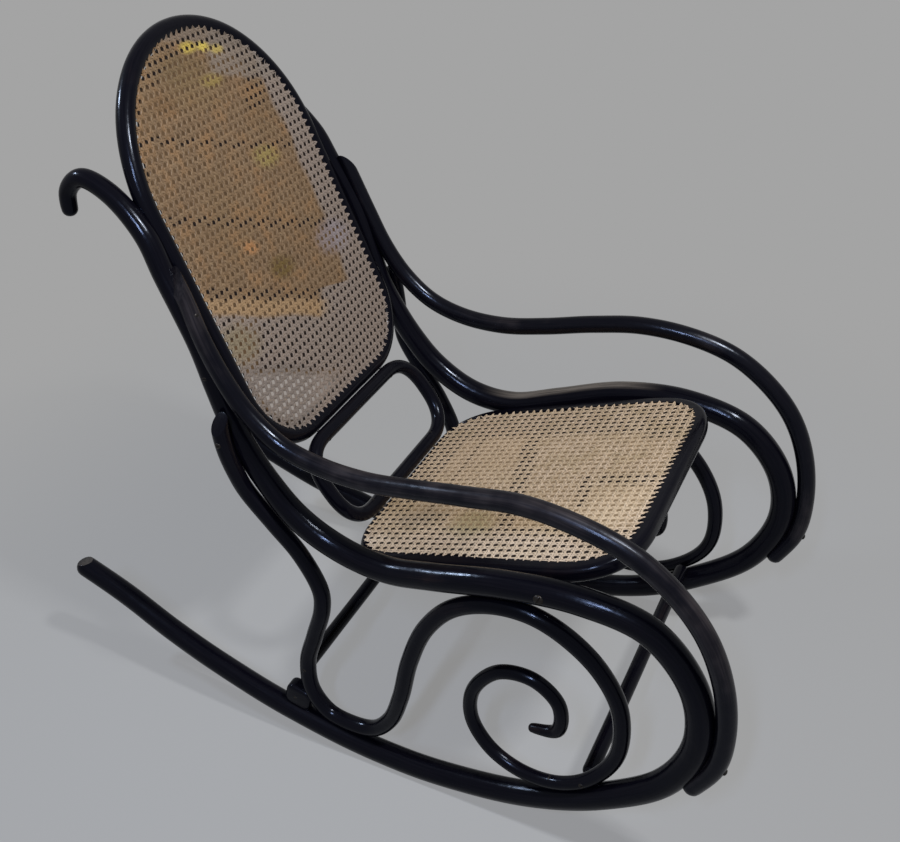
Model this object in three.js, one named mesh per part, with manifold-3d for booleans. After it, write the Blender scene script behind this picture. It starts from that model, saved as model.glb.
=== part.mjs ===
// A bentwood rocking chair with a caned seat and back, in its rest pose.
// Millimetres. +Z is up, the sitter faces -Y, and +X is the sitter's left.
import * as THREE from 'three'
import { mergeVertices } from 'three/addons/utils/BufferGeometryUtils.js'
import Module from 'manifold-3d'

const wasm = await Module()
wasm.setup()

// Sizes of the side frames: tail to front, ground to hook, and the chair's middle to the widest rod line.
const sideLength = 1000
const sideHeight = 850
const sideHalfWidth = 250

// Radii of the rods.
const tailRadius = 17
const runnerRadius = 18
const railRadius = 18.5
const postRadius = 15
const hookRadius = 11
const armRadius = 13.2
const armTopRadius = 11
const scrollTopRadius = 12
const scrollRadius = 12.5
const curlRadius = 10
const curlTipRadius = 6.5
const hoopRadius = 13
const ringRadius = 10.8
const stretcherRadius = 10.5

// Fits between pieces.
const clearance = 0.3
const overrun = 20

// The short flat that each runner rests on.
const restFlatDepth = 0.5

// The back: where its cane starts and how it leans, then the cane's outline.
const backFootBack = 188
const backFootHeight = 481
const backSlope = 65.2
const backCaneLength = 553
const backCaneHalfWidth = 188
const backCaneFootHalfWidth = 100
const backCaneFootCorner = 92
const backCaneTopRise = 200
const backCaneSetOut = 8
const backCaneLift = 8

// The seat: its rear edge, its rise to the front, then the cane's outline and the frame round it.
const seatRearBack = 86
const seatRearHeight = 345.5
const seatSlope = 162.6
const seatCaneLength = 398
const seatCaneRearHalfWidth = 190
const seatCaneFrontHalfWidth = 208
const seatCaneRearCorner = 72
const seatCaneFrontCorner = 86
const seatFrameMarginSide = 21
const seatFrameMarginFront = 18
const seatFrameMarginRear = 8
const seatFrameCornerGrowth = 26
const seatFrameLap = 12
const seatFrameThickness = 22
const seatFrameEdge = 4

// The cane panels and their open weave.
const caneThickness = 2.4
const caneGapAcross = 34
const caneGapAlong = 34
const canePitchAcross = 58
const canePitchAlong = 58
const caneBorder = 25

// The ring between back and seat: its lower bar's place, its size and its corners.
const ringFootBack = 95
const ringFootHeight = 357
const ringSlope = 53
const ringHalfWidth = 157
const ringRise = 127
const ringCorner = 60

// The stretchers: how far back and how high they lie.
const frontStretcherBack = -288
const frontStretcherHeight = 123
const rearStretcherBack = 148
const rearStretcherHeight = 136
const stretcherReach = 240

// The block in the angle between leg and runner.
const legBlockOut = 236
const legBlockBack = 160
const legBlockHeight = 75
const legBlockLength = 46
const legBlockRise = 40
const legBlockWidth = 24
const legBlockTurn = 14
const legBlockEdge = 6
const legBlockCorner = 14

// Screws: heads, shanks, how deep a head sits in its rod and how far a shank goes.
const boltHeadRadius = 7
const boltShankRadius = 3
const screwHeadRadius = 4.5
const screwShankRadius = 2
const headHeightShare = 0.8
const headSink = 2.5
const headRoom = 8
const boltLength = 58
const longScrewLength = 44
const shortScrewLength = 32
const blockScrewLength = 24
const ringScrewSpacing = 196

// Slanted cuts: where the arm tops and the runner tails end, and which way the cut faces.
const armTopCutShares = [0.904, 0.297, 0.867]
const armTopCutFacing = [0.87, 0.17, 0.46]
const tailCutShares = [0.9, 0.555, 0.2205]
const tailCutFacing = [0, 0.24, 0.97]

// Places of the screws beside the chair, as shares of the side sizes.
const seatBoltShares = [1, -0.215, 0.5]
const hoopScrewShares = [0.904, 0.262, 0.715]
const legTopScrewShares = [1.03, 0.232, 0.62]
const loopTopScrewShares = [0.995, -0.165, 0.447]
const loopFootScrewShares = [1, -0.243, 0.117]
const armTopScrewShares = [0.905, 0.28, 0.81]
const armFootScrewShares = [1.01, -0.447, 0.275]
const blockScrewShares = [0.98, 0.164, 0.09]
const blockScrewFacing = [-0.5, 0, -0.85]

// How finely the rods are stepped: the turn and the length that one step may take.
const stepTurn = THREE.MathUtils.degToRad(18)
const stepLength = 100
const walkSamples = 720
const restFlatLength = 50
const rodSides = 8
const thinRodSides = 8
const screwSides = 6
const outlineFineness = 6
const edgeFineness = 24
const blockFineness = 3
const samePoint = 0.01

// Centre lines of the side rods, point by point: out to the side, back and up, as shares of the side sizes.
const rockerRodShares = [
  [0.9, 0.578, 0.212],
  [0.9, 0.48, 0.165],
  [0.92, 0.4, 0.125],
  [0.945, 0.29, 0.083],
  [0.96, 0.165, 0.047],
  [0.96, 0.03, 0.023],
  [0.965, -0.095, 0.029],
  [0.975, -0.215, 0.063],
  [0.99, -0.31, 0.123],
  [1, -0.388, 0.205],
  [1, -0.421, 0.305],
  [0.99, -0.407, 0.402],
  [0.98, -0.35, 0.478],
  [0.995, -0.264, 0.503],
  [1, -0.166, 0.493],
  [0.965, -0.065, 0.457],
  [0.925, 0.01, 0.433],
  [0.91, 0.078, 0.441],
  [0.91, 0.142, 0.48],
  [0.908, 0.188, 0.538],
  [0.904, 0.234, 0.624],
  [0.904, 0.256, 0.693],
  [0.904, 0.274, 0.76],
  [0.904, 0.293, 0.813],
  [0.884, 0.32, 0.869],
  [0.864, 0.346, 0.926],
  [0.85, 0.395, 0.981],
  [0.85, 0.438, 0.999],
  [0.85, 0.464, 0.975],
  [0.85, 0.468, 0.933],
]
const armShares = [
  [0.912, 0.314, 0.906],
  [0.912, 0.288, 0.844],
  [0.928, 0.264, 0.778],
  [0.93, 0.236, 0.714],
  [0.932, 0.203, 0.661],
  [0.93, 0.157, 0.619],
  [0.925, 0.1, 0.598],
  [0.93, 0.035, 0.594],
  [0.945, -0.035, 0.606],
  [0.97, -0.11, 0.625],
  [0.98, -0.18, 0.638],
  [0.995, -0.25, 0.633],
  [1.005, -0.317, 0.61],
  [1.01, -0.37, 0.568],
  [1.015, -0.412, 0.51],
  [1.015, -0.44, 0.434],
  [1.01, -0.452, 0.345],
  [1.01, -0.447, 0.275],
  [1, -0.418, 0.207],
]
const scrollRodShares = [
  [1.028, 0.234, 0.673],
  [1.032, 0.234, 0.636],
  [1.028, 0.229, 0.599],
  [1.004, 0.222, 0.56],
  [0.972, 0.213, 0.522],
  [0.944, 0.179, 0.464],
  [0.924, 0.143, 0.409],
  [0.916, 0.116, 0.342],
  [0.92, 0.115, 0.302],
  [0.92, 0.131, 0.235],
  [0.925, 0.146, 0.17],
  [0.94, 0.14, 0.11],
  [0.945, 0.112, 0.069],
  [0.95, 0.072, 0.061],
  [0.955, 0.035, 0.072],
  [0.965, 0.006, 0.113],
  [0.98, -0.014, 0.18],
  [0.985, -0.03, 0.27],
  [0.985, -0.056, 0.354],
  [0.99, -0.095, 0.413],
  [0.995, -0.15, 0.446],
  [0.99, -0.2, 0.448],
  [0.985, -0.245, 0.427],
  [0.975, -0.29, 0.381],
  [0.97, -0.321, 0.315],
  [0.975, -0.328, 0.24],
  [0.985, -0.317, 0.193],
  [1.005, -0.285, 0.146],
  [1, -0.243, 0.117],
  [0.98, -0.195, 0.11],
  [0.96, -0.15, 0.13],
  [0.95, -0.12, 0.181],
  [0.95, -0.122, 0.247],
  [0.95, -0.158, 0.302],
  [0.95, -0.205, 0.309],
  [0.948, -0.241, 0.274],
  [0.948, -0.241, 0.218],
  [0.948, -0.202, 0.204],
]

// How the radii run along the rods, at shares of their point lists.
const rockerRadii = [[0, tailRadius], [0.16, runnerRadius], [0.36, railRadius], [0.62, railRadius],
  [0.74, postRadius], [0.86, postRadius], [1, hookRadius]]
const armRadii = [[0, armTopRadius], [0.2, armRadius], [1, armRadius]]
const scrollRadii = [[0, scrollTopRadius], [0.15, scrollRadius], [0.6, scrollRadius], [0.75, curlRadius],
  [0.97, curlRadius], [1, curlTipRadius]]

// Materials, one maker each so that every mesh has its own.
const paint = (color, roughness, metalness) => () =>
  new THREE.MeshStandardMaterial({ color, roughness, metalness })
const blackWood = paint(0x1a1414, 0.3, 0)
const seatStraw = paint(0xb79a6c, 0.7, 0)
const backStraw = paint(0x9a7a4e, 0.7, 0)
const darkSteel = paint(0x3a3734, 0.45, 0.9)

const chair = new THREE.Group()
const right = -1
const left = 1
const xAxis = new THREE.Vector3(1, 0, 0)

// Solids and geometries.
function solidOf(geometry) {
  const bare = geometry.clone()
  bare.deleteAttribute('normal')
  bare.deleteAttribute('uv')
  const merged = mergeVertices(bare)
  return new wasm.Manifold(new wasm.Mesh({
    numProp: 3,
    vertProperties: new Float32Array(merged.attributes.position.array),
    triVerts: new Uint32Array(merged.index.array),
  }))
}

function geometryOf(solid) {
  const mesh = solid.getMesh()
  const geometry = new THREE.BufferGeometry()
  geometry.setAttribute('position', new THREE.BufferAttribute(mesh.vertProperties, 3))
  geometry.setIndex(new THREE.BufferAttribute(mesh.triVerts, 1))
  geometry.computeVertexNormals()
  return geometry
}

function cutAway(solid, cutters) {
  return cutters.reduce((rest, cutter) => rest.subtract(cutter), solid)
}

function addPiece(name, solid, material) {
  const mesh = new THREE.Mesh(geometryOf(solid), material())
  mesh.name = name
  chair.add(mesh)
}

// A value that runs straight between stops of [share, value].
function valueAt(stops, share) {
  const next = stops.findIndex(([stop]) => stop >= share)
  if (next <= 0) return stops[0][1]
  const [fromShare, from] = stops[next - 1]
  const [toShare, to] = stops[next]
  return from + (to - from) * (share - fromShare) / (toShare - fromShare)
}

// Corner radius of a section with this many sides that holds as much as the round one.
function sectionRadius(radius, sides) {
  const slice = 2 * Math.PI / sides
  return radius * Math.sqrt(slice / Math.sin(slice))
}

// Joins rings of points, one after another, into one closed body.
function loft(rings, closed) {
  const sides = rings[0].length
  const corners = rings.flat().flatMap((corner) => corner.toArray())
  const faces = []
  const spans = closed ? rings.length : rings.length - 1
  for (let i = 0; i < spans; i += 1) {
    const near = i * sides
    const far = ((i + 1) % rings.length) * sides
    for (let j = 0; j < sides; j += 1) {
      const k = (j + 1) % sides
      faces.push(near + j, far + k, near + k, near + j, far + j, far + k)
    }
  }
  const lastRing = (rings.length - 1) * sides
  for (let j = 1; j < sides - 1 && !closed; j += 1) {
    faces.push(0, j, j + 1, lastRing, lastRing + j + 1, lastRing + j)
  }
  const geometry = new THREE.BufferGeometry()
  geometry.setAttribute('position', new THREE.Float32BufferAttribute(corners, 3))
  geometry.setIndex(faces)
  return solidOf(geometry)
}

// One ring of a rod's section, with a flat side down where the rod runs level.
function sectionRing(centre, tangent, across, radius, sides) {
  const sideways = across.clone().addScaledVector(tangent, -across.dot(tangent)).normalize()
  const inward = new THREE.Vector3().crossVectors(tangent, sideways)
  const corner = sectionRadius(radius, sides)
  return Array.from({ length: sides }, (_, i) => {
    const angle = 2 * Math.PI * (i + 0.5) / sides
    return centre.clone()
      .addScaledVector(inward, corner * Math.cos(angle))
      .addScaledVector(sideways, corner * Math.sin(angle))
  })
}

// Shares along a curve with a step wherever it has turned or run far enough.
function stepShares(curve, closed) {
  const shares = [0]
  let turned = 0
  let run = 0
  let point = curve.getPoint(0)
  let tangent = curve.getTangent(0)
  for (let i = 1; i <= walkSamples; i += 1) {
    const share = i / walkSamples
    const nextPoint = curve.getPoint(share)
    const nextTangent = curve.getTangent(share)
    turned += tangent.angleTo(nextTangent)
    run += point.distanceTo(nextPoint)
    if (turned > stepTurn || run > stepLength) {
      shares.push(share)
      turned = 0
      run = 0
    }
    point = nextPoint
    tangent = nextTangent
  }
  if (closed) return shares.filter((share) => share < 1)
  if (shares.at(-1) < 1) shares.push(1)
  return shares
}

// The steps of a runner, with a level one at its lowest point for the flat that it rests on.
function runnerShares(curve) {
  const level = restFlatLength / 2
  const rests = [level, -level].map((y) => nearestShare(curve, new THREE.Vector3(curve.getPoint(0).x, y, 0)))
  const [first, last] = [Math.min(...rests), Math.max(...rests)]
  const spare = (last - first) / 2
  return stepShares(curve, false).filter((t) => t < first - spare || t > last + spare)
    .concat(rests).sort((a, b) => a - b)
}

// An open rod along a curve, with its ends rounded over, grown all round where it serves as a cutter.
const endRoundingShares = [[0, 0.55], [0.35, 0.88], [0.9, 1]]
function rodSolid({ curve, radii, sides, steps = stepShares(curve, false) }, grown = 0) {
  const length = curve.getLength()
  const tipAt = (radius, reachShare) => curve.getUtoTmapping(radius * reachShare / length)
  const tailAt = (radius, reachShare) => curve.getUtoTmapping(1 - radius * reachShare / length)
  const firstRadius = radii[0][1]
  const lastRadius = radii.at(-1)[1]
  const reach = endRoundingShares.at(-1)[0]
  const inner = steps.filter((t) => t > tipAt(firstRadius, reach) && t < tailAt(lastRadius, reach))
  const stations = [
    ...endRoundingShares.map(([share, width]) => [tipAt(firstRadius, share), width]),
    ...inner.map((t) => [t, 1]),
    ...endRoundingShares.map(([share, width]) => [tailAt(lastRadius, share), width]).reverse(),
  ]
  return loft(stations.map(([t, width]) => sectionRing(curve.getPoint(t), curve.getTangent(t), xAxis,
    valueAt(radii, t) * width + grown, sides)), false)
}

// A rod bent into a closed loop.
function hoopSolid({ curve, radius, sides, across }, grown = 0) {
  return loft(stepShares(curve, true).map((t) => sectionRing(curve.getPoint(t), curve.getTangent(t),
    across, radius + grown, sides)), true)
}

// A straight round bar from one point to another.
function barSolid(from, to, radius, sides) {
  const along = new THREE.Vector3().subVectors(to, from)
  const geometry = new THREE.CylinderGeometry(sectionRadius(radius, sides), sectionRadius(radius, sides),
    along.length(), sides)
  geometry.translate(0, along.length() / 2, 0)
  const turn = new THREE.Quaternion().setFromUnitVectors(new THREE.Vector3(0, 1, 0), along.normalize())
  geometry.applyQuaternion(turn)
  geometry.translate(...from.toArray())
  return solidOf(geometry)
}

// A leaning plane that carries flat outlines: X across, and up the slope as the outline's second axis.
function leaningPlane(back, height, slope) {
  const angle = THREE.MathUtils.degToRad(slope)
  const up = new THREE.Vector3(0, Math.cos(angle), Math.sin(angle))
  const out = new THREE.Vector3().crossVectors(xAxis, up)
  const matrix = new THREE.Matrix4().makeBasis(xAxis, up, out)
  matrix.setPosition(0, back, height)
  return { matrix, up, out, at: (x, along, lift) => new THREE.Vector3(x, along, lift).applyMatrix4(matrix) }
}

// The curve of a flat outline that lies on a plane.
class OutlineCurve extends THREE.Curve {
  constructor(outline, plane, lift) {
    super()
    this.outline = outline
    this.plane = plane
    this.lift = lift
  }

  getPoint(t) {
    const flat = this.outline.getPointAt(t % 1)
    return this.plane.at(flat.x, flat.y, this.lift)
  }
}

// The back cane's outline, widened all round by a margin.
function backOutline(margin) {
  const half = backCaneHalfWidth + margin
  const footHalf = backCaneFootHalfWidth
  const footCorner = backCaneFootCorner + margin
  const shoulder = backCaneLength - backCaneTopRise
  const outline = new THREE.Shape()
  outline.moveTo(-footHalf, -margin)
  outline.lineTo(footHalf, -margin)
  outline.absellipse(footHalf, backCaneFootCorner, half - footHalf, footCorner, -Math.PI / 2, 0, false)
  outline.lineTo(half, shoulder)
  outline.absellipse(0, shoulder, half, backCaneTopRise + margin, 0, Math.PI, false)
  outline.lineTo(-half, backCaneFootCorner)
  outline.absellipse(-footHalf, backCaneFootCorner, half - footHalf, footCorner, Math.PI, 1.5 * Math.PI,
    false)
  return outline
}

// A rounded outline with straight sides that widen to the front, which is its far end.
function taperedOutline({ rearHalf, frontHalf, rear, front, rearCorner, frontCorner }) {
  const corners = [[rearHalf, rear, rearCorner], [frontHalf, front, frontCorner],
    [-frontHalf, front, frontCorner], [-rearHalf, rear, rearCorner]]
  const outline = new THREE.Shape()
  corners.forEach(([x, y, radius], i) => {
    const corner = new THREE.Vector2(x, y)
    const [beforeX, beforeY] = corners.at(i - 1)
    const [afterX, afterY] = corners[(i + 1) % corners.length]
    const start = new THREE.Vector2(beforeX, beforeY).sub(corner).setLength(radius).add(corner)
    const end = new THREE.Vector2(afterX, afterY).sub(corner).setLength(radius).add(corner)
    if (i === 0) outline.moveTo(start.x, start.y)
    else outline.lineTo(start.x, start.y)
    outline.quadraticCurveTo(x, y, end.x, end.y)
  })
  outline.closePath()
  return outline
}

// The seat cane's outline, widened by margins.
function seatOutline(side, front, rear, corner) {
  return taperedOutline({
    rearHalf: seatCaneRearHalfWidth + side,
    frontHalf: seatCaneFrontHalfWidth + side,
    rear: -rear,
    front: seatCaneLength + front,
    rearCorner: seatCaneRearCorner + corner,
    frontCorner: seatCaneFrontCorner + corner,
  })
}

// An outline's points, each given once.
function outlinePoints(outline, fineness) {
  const points = outline.getPoints(fineness)
  return points.filter((point, i) => point.distanceTo(points.at(i - 1)) > samePoint)
}

// A flat plate of a shape, its edges chamfered where that is asked for.
function plateGeometry(shape, thickness, edge = 0) {
  const geometry = new THREE.ExtrudeGeometry(shape, {
    depth: thickness - 2 * edge,
    bevelEnabled: edge > 0,
    bevelSize: edge,
    bevelThickness: edge,
    bevelOffset: -edge,
    bevelSegments: 1,
  })
  geometry.translate(0, 0, edge)
  return geometry
}

// A plate on a plane, at a lift above it.
function plateSolid(shape, plane, lift, thickness, edge) {
  const geometry = plateGeometry(shape, thickness, edge)
  geometry.translate(0, 0, lift)
  geometry.applyMatrix4(plane.matrix)
  return solidOf(geometry)
}

function shapeOf(outline, fineness = outlineFineness) {
  return new THREE.Shape(outlinePoints(outline, fineness))
}

// Diamond gaps in staggered rows wherever the border leaves room for a whole one.
function weaveGaps(outline) {
  const edge = outlinePoints(outline, edgeFineness)
  const box = new THREE.Box2().setFromPoints(edge)
  const middle = box.getCenter(new THREE.Vector2())
  const rows = Math.floor((box.max.y - box.min.y) / canePitchAlong)
  const columns = Math.ceil((box.max.x - box.min.x) / canePitchAcross)
  const gaps = []
  for (let row = -rows; row <= rows; row += 1) {
    for (let column = -columns; column <= columns; column += 1) {
      const x = middle.x + (column + (row % 2) / 2) * canePitchAcross
      const y = middle.y + row * canePitchAlong / 2
      if (roomInside(edge, x, y) < caneBorder) continue
      gaps.push(new THREE.Shape([
        new THREE.Vector2(x - caneGapAcross / 2, y),
        new THREE.Vector2(x, y - caneGapAlong / 2),
        new THREE.Vector2(x + caneGapAcross / 2, y),
        new THREE.Vector2(x, y + caneGapAlong / 2),
      ]))
    }
  }
  return gaps
}

// A thin panel of open weave whose front lies on a plane.
function caneSolid(outline, plane, lift) {
  const cutters = plateSolid(weaveGaps(outline), plane, lift - overrun, caneThickness + 2 * overrun)
  return plateSolid(shapeOf(outline), plane, lift, caneThickness).subtract(cutters)
}

// The outline of a block with rounded corners, centred.
function roundedBlockOutline(length, rise, corner) {
  return taperedOutline({
    rearHalf: length / 2,
    frontHalf: length / 2,
    rear: -rise / 2,
    front: rise / 2,
    rearCorner: corner,
    frontCorner: corner,
  })
}

// How far a point lies inside an outline's points, or a negative number where it lies outside.
function roomInside(edge, x, y) {
  let inside = false
  let room = Infinity
  edge.forEach((from, i) => {
    const to = edge[(i + 1) % edge.length]
    const crosses = (from.y > y) !== (to.y > y)
    if (crosses && x < from.x + (to.x - from.x) * (y - from.y) / (to.y - from.y)) inside = !inside
    room = Math.min(room, new THREE.Vector2(x - from.x, y - from.y).length())
  })
  return inside ? room : -room
}

// A round-headed screw: where its head seats, which way it goes in and how far.
function screwSpec(name, seat, into, length, headRadius = screwHeadRadius, shankRadius = screwShankRadius) {
  return { name, seat, into: into.clone().normalize(), length, headRadius, shankRadius }
}

function screwSolid({ seat, into, length, headRadius, shankRadius }) {
  const profile = [[0, -length], [shankRadius, -length], [shankRadius, 0], [headRadius, 0],
    [0, headRadius * headHeightShare]].map(([x, y]) => new THREE.Vector2(x, y))
  const geometry = new THREE.LatheGeometry(profile, screwSides)
  geometry.applyQuaternion(new THREE.Quaternion().setFromUnitVectors(new THREE.Vector3(0, -1, 0), into))
  geometry.translate(...seat.toArray())
  return solidOf(geometry)
}

// The hole that a screw needs: its shank, and the pocket for its head.
function screwHole({ seat, into, length, headRadius, shankRadius }) {
  const outside = seat.clone().addScaledVector(into, -headRoom)
  const pocketFloor = seat.clone().addScaledVector(into, clearance)
  const tip = seat.clone().addScaledVector(into, length + clearance)
  const shank = barSolid(outside, tip, shankRadius + 2 * clearance, screwSides)
  return shank.add(barSolid(outside, pocketFloor, headRadius + 2 * clearance, screwSides))
}

// Everything on the outer side of a slanted plane through a point.
function slantCutter(point, facing) {
  const block = new THREE.BoxGeometry(sideHalfWidth, sideHalfWidth, sideHalfWidth)
  block.translate(0, 0, sideHalfWidth / 2)
  block.applyQuaternion(new THREE.Quaternion().setFromUnitVectors(new THREE.Vector3(0, 0, 1),
    facing.normalize()))
  block.translate(...point.toArray())
  return solidOf(block)
}

// A place beside the chair, from its shares of the side sizes.
function sidePlace([out, along, up], side) {
  return new THREE.Vector3(side * out * sideHalfWidth, along * sideLength, up * sideHeight)
}

function sideCurve(shares, side) {
  return new THREE.CatmullRomCurve3(shares.map((share) => sidePlace(share, side)), false, 'centripetal')
}

// The share of a curve whose point lies nearest to a place.
function nearestShare(curve, place) {
  const gaps = Array.from({ length: walkSamples + 1 },
    (_, i) => curve.getPoint(i / walkSamples).distanceTo(place))
  return gaps.indexOf(Math.min(...gaps)) / walkSamples
}

// The rods of each side frame.
const sides = [[right, 'right'], [left, 'left']].map(([side, name]) => {
  const rockerCurve = sideCurve(rockerRodShares, side)
  return {
    side,
    name,
    rocker: { curve: rockerCurve, radii: rockerRadii, sides: rodSides, steps: runnerShares(rockerCurve) },
    arm: { curve: sideCurve(armShares, side), radii: armRadii, sides: thinRodSides },
    scroll: { curve: sideCurve(scrollRodShares, side), radii: scrollRadii, sides: thinRodSides },
  }
})

// Planes of the back, the seat and the ring, and the rods bent round them.
const backPlane = leaningPlane(backFootBack, backFootHeight, backSlope)
const seatPlane = leaningPlane(seatRearBack, seatRearHeight, seatSlope)
const ringPlane = leaningPlane(ringFootBack, ringFootHeight, ringSlope)

const hoop = {
  curve: new OutlineCurve(backOutline(backCaneSetOut), backPlane, -backCaneLift - caneThickness),
  radius: hoopRadius,
  sides: rodSides,
  across: backPlane.out,
}
const ring = {
  curve: new OutlineCurve(taperedOutline({
    rearHalf: ringHalfWidth,
    frontHalf: ringHalfWidth,
    rear: 0,
    front: ringRise,
    rearCorner: ringCorner,
    frontCorner: ringCorner,
  }), ringPlane, 0),
  radius: ringRadius,
  sides: thinRodSides,
  across: ringPlane.out,
}

// A screw through a rod at the place nearest to the one given, its head seated in the rod's near side.
function rodScrew(name, rod, place, into, length, headRadius, shankRadius) {
  const share = nearestShare(rod.curve, place)
  const way = into.isVector3 ? into.clone().normalize() : towardRod(rod.curve.getPoint(share), into)
  const seat = rod.curve.getPoint(share).addScaledVector(way, headSink - valueAt(rod.radii, share))
  return screwSpec(name, seat, way, length, headRadius, shankRadius)
}

function towardRod(point, rod) {
  return rod.curve.getPoint(nearestShare(rod.curve, point)).sub(point).normalize()
}

// The screws of one side frame.
function sideScrews({ side, name, rocker, arm, scroll }) {
  const inward = new THREE.Vector3(-side, 0, 0)
  const at = (shares) => sidePlace(shares, side)
  const [blockX, blockY, blockZ] = blockScrewFacing
  return [
    rodScrew(`seat_bolt_${name}`, rocker, at(seatBoltShares), inward, boltLength, boltHeadRadius,
      boltShankRadius),
    rodScrew(`hoop_screw_${name}`, rocker, at(hoopScrewShares), inward, longScrewLength),
    rodScrew(`leg_top_screw_${name}`, scroll, at(legTopScrewShares), inward, longScrewLength),
    rodScrew(`loop_top_screw_${name}`, scroll, at(loopTopScrewShares), rocker, longScrewLength),
    rodScrew(`loop_foot_screw_${name}`, scroll, at(loopFootScrewShares), rocker, shortScrewLength),
    rodScrew(`arm_top_screw_${name}`, arm, at(armTopScrewShares), rocker, shortScrewLength),
    rodScrew(`arm_foot_screw_${name}`, arm, at(armFootScrewShares), rocker, longScrewLength),
    rodScrew(`front_stretcher_screw_${name}`, scroll,
      new THREE.Vector3(side * sideHalfWidth, frontStretcherBack, frontStretcherHeight), inward,
      longScrewLength),
    rodScrew(`rear_stretcher_screw_${name}`, scroll,
      new THREE.Vector3(side * sideHalfWidth, rearStretcherBack, rearStretcherHeight), inward,
      longScrewLength),
    screwSpec(`leg_block_screw_${name}`, at(blockScrewShares),
      new THREE.Vector3(side * blockX, blockY, blockZ), blockScrewLength),
  ]
}

// Screws through the ring: two down into the seat frame and two back into the hoop.
const ringScrews = [[right, 'right'], [left, 'left']].flatMap(([side, name]) => {
  const across = side * ringScrewSpacing / 2
  const footCentre = ringPlane.at(across, 0, 0)
  const topCentre = ringPlane.at(across, ringRise, 0)
  const down = seatPlane.out.clone()
  const back = backPlane.at(across, -backCaneSetOut, -backCaneLift - caneThickness).sub(topCentre).normalize()
  const depth = headSink - ringRadius
  return [
    screwSpec(`ring_foot_screw_${name}`, footCentre.addScaledVector(down, depth), down, shortScrewLength),
    screwSpec(`ring_top_screw_${name}`, topCentre.addScaledVector(back, depth), back, shortScrewLength),
  ]
})

// The ground's surface, raised by the little that each runner is flattened.
const rockers = sides.map(({ rocker }) => rodSolid(rocker))
const groundHeight = rockers[0].boundingBox().min[2] + restFlatDepth
const ground = new THREE.BoxGeometry(2 * sideLength, 2 * sideLength, sideLength)
ground.translate(0, 0, groundHeight - sideLength / 2)
const groundCutter = solidOf(ground)

const grownRockers = sides.map(({ rocker }) => rodSolid(rocker, clearance))
const grownScrolls = sides.map(({ scroll }) => rodSolid(scroll, clearance))
const grownHoop = hoopSolid(hoop, clearance)

// The side frames, each screwed together.
const screws = [...sides.flatMap(sideScrews), ...ringScrews]
const holes = screws.map(screwHole)
const drilled = (solid, ...cutters) => cutAway(solid, [...cutters, ...holes])

sides.forEach(({ side, name, arm, scroll }, i) => {
  const armTopCut = slantCutter(sidePlace(armTopCutShares, side),
    new THREE.Vector3(...armTopCutFacing).multiply(new THREE.Vector3(side, 1, 1)))
  const tailCut = slantCutter(sidePlace(tailCutShares, side), new THREE.Vector3(...tailCutFacing))
  addPiece(`rocker_rod_${name}`, drilled(rockers[i], groundCutter, tailCut), blackWood)
  addPiece(`arm_${name}`, drilled(rodSolid(arm), grownRockers[i], grownHoop, armTopCut), blackWood)
  addPiece(`scroll_rod_${name}`, drilled(rodSolid(scroll), grownRockers[i]), blackWood)

  const face = roundedBlockOutline(legBlockLength, legBlockRise, legBlockCorner)
  const block = plateGeometry(shapeOf(face, blockFineness), legBlockWidth, legBlockEdge)
  block.translate(0, 0, -legBlockWidth / 2)
  block.rotateY(Math.PI / 2)
  block.rotateX(Math.PI / 2)
  block.rotateX(THREE.MathUtils.degToRad(legBlockTurn))
  block.translate(side * legBlockOut, legBlockBack, legBlockHeight)
  addPiece(`leg_block_${name}`, drilled(solidOf(block), grownRockers[i], grownScrolls[i]), blackWood)
})

// The stretchers, from scroll rod to scroll rod.
function stretcherSolid(back, height) {
  const bar = barSolid(new THREE.Vector3(-stretcherReach, back, height),
    new THREE.Vector3(stretcherReach, back, height), stretcherRadius, thinRodSides)
  return drilled(bar, ...grownScrolls, ...grownRockers)
}
addPiece('front_stretcher', stretcherSolid(frontStretcherBack, frontStretcherHeight), blackWood)
addPiece('rear_stretcher', stretcherSolid(rearStretcherBack, rearStretcherHeight), blackWood)

// The seat: its frame lies between the rails, and the cane is let into the frame.
const frameShape = shapeOf(seatOutline(seatFrameMarginSide, seatFrameMarginFront, seatFrameMarginRear,
  seatFrameCornerGrowth))
const frameOpening = seatOutline(-seatFrameLap, -seatFrameLap, -seatFrameLap, -seatFrameLap)
frameShape.holes.push(new THREE.Path(outlinePoints(frameOpening, outlineFineness)))
const seatPocket = plateSolid(shapeOf(seatOutline(clearance, clearance, clearance, clearance)), seatPlane,
  -overrun, overrun + caneThickness + clearance)
addPiece('seat_frame', drilled(plateSolid(frameShape, seatPlane, 0, seatFrameThickness, seatFrameEdge),
  seatPocket, ...grownRockers), blackWood)
addPiece('seat_cane', caneSolid(seatOutline(0, 0, 0, 0), seatPlane, 0), seatStraw)

// The back: the cane is let into the hoop, and the ring joins hoop and seat.
const backPocket = plateSolid(shapeOf(backOutline(clearance)), backPlane, -caneThickness - clearance,
  caneThickness + overrun)
addPiece('back_hoop', drilled(hoopSolid(hoop), backPocket, ...grownRockers), blackWood)
addPiece('back_cane', caneSolid(backOutline(0), backPlane, -caneThickness), backStraw)
addPiece('back_ring', drilled(hoopSolid(ring), grownHoop), blackWood)

screws.forEach((screw) => addPiece(screw.name, screwSolid(screw), darkSteel))

// The frame's origin: on the ground, below the middle of the chair's box.
const middle = new THREE.Box3().setFromObject(chair).getCenter(new THREE.Vector3())
chair.position.set(0, -middle.y, -groundHeight)

export default chair
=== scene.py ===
# A bentwood rocking chair with a woven cane seat and back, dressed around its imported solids.
import math
import random
from functools import partial, reduce

import bmesh
import bpy
import numpy as np
from mathutils import Matrix, Vector


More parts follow.
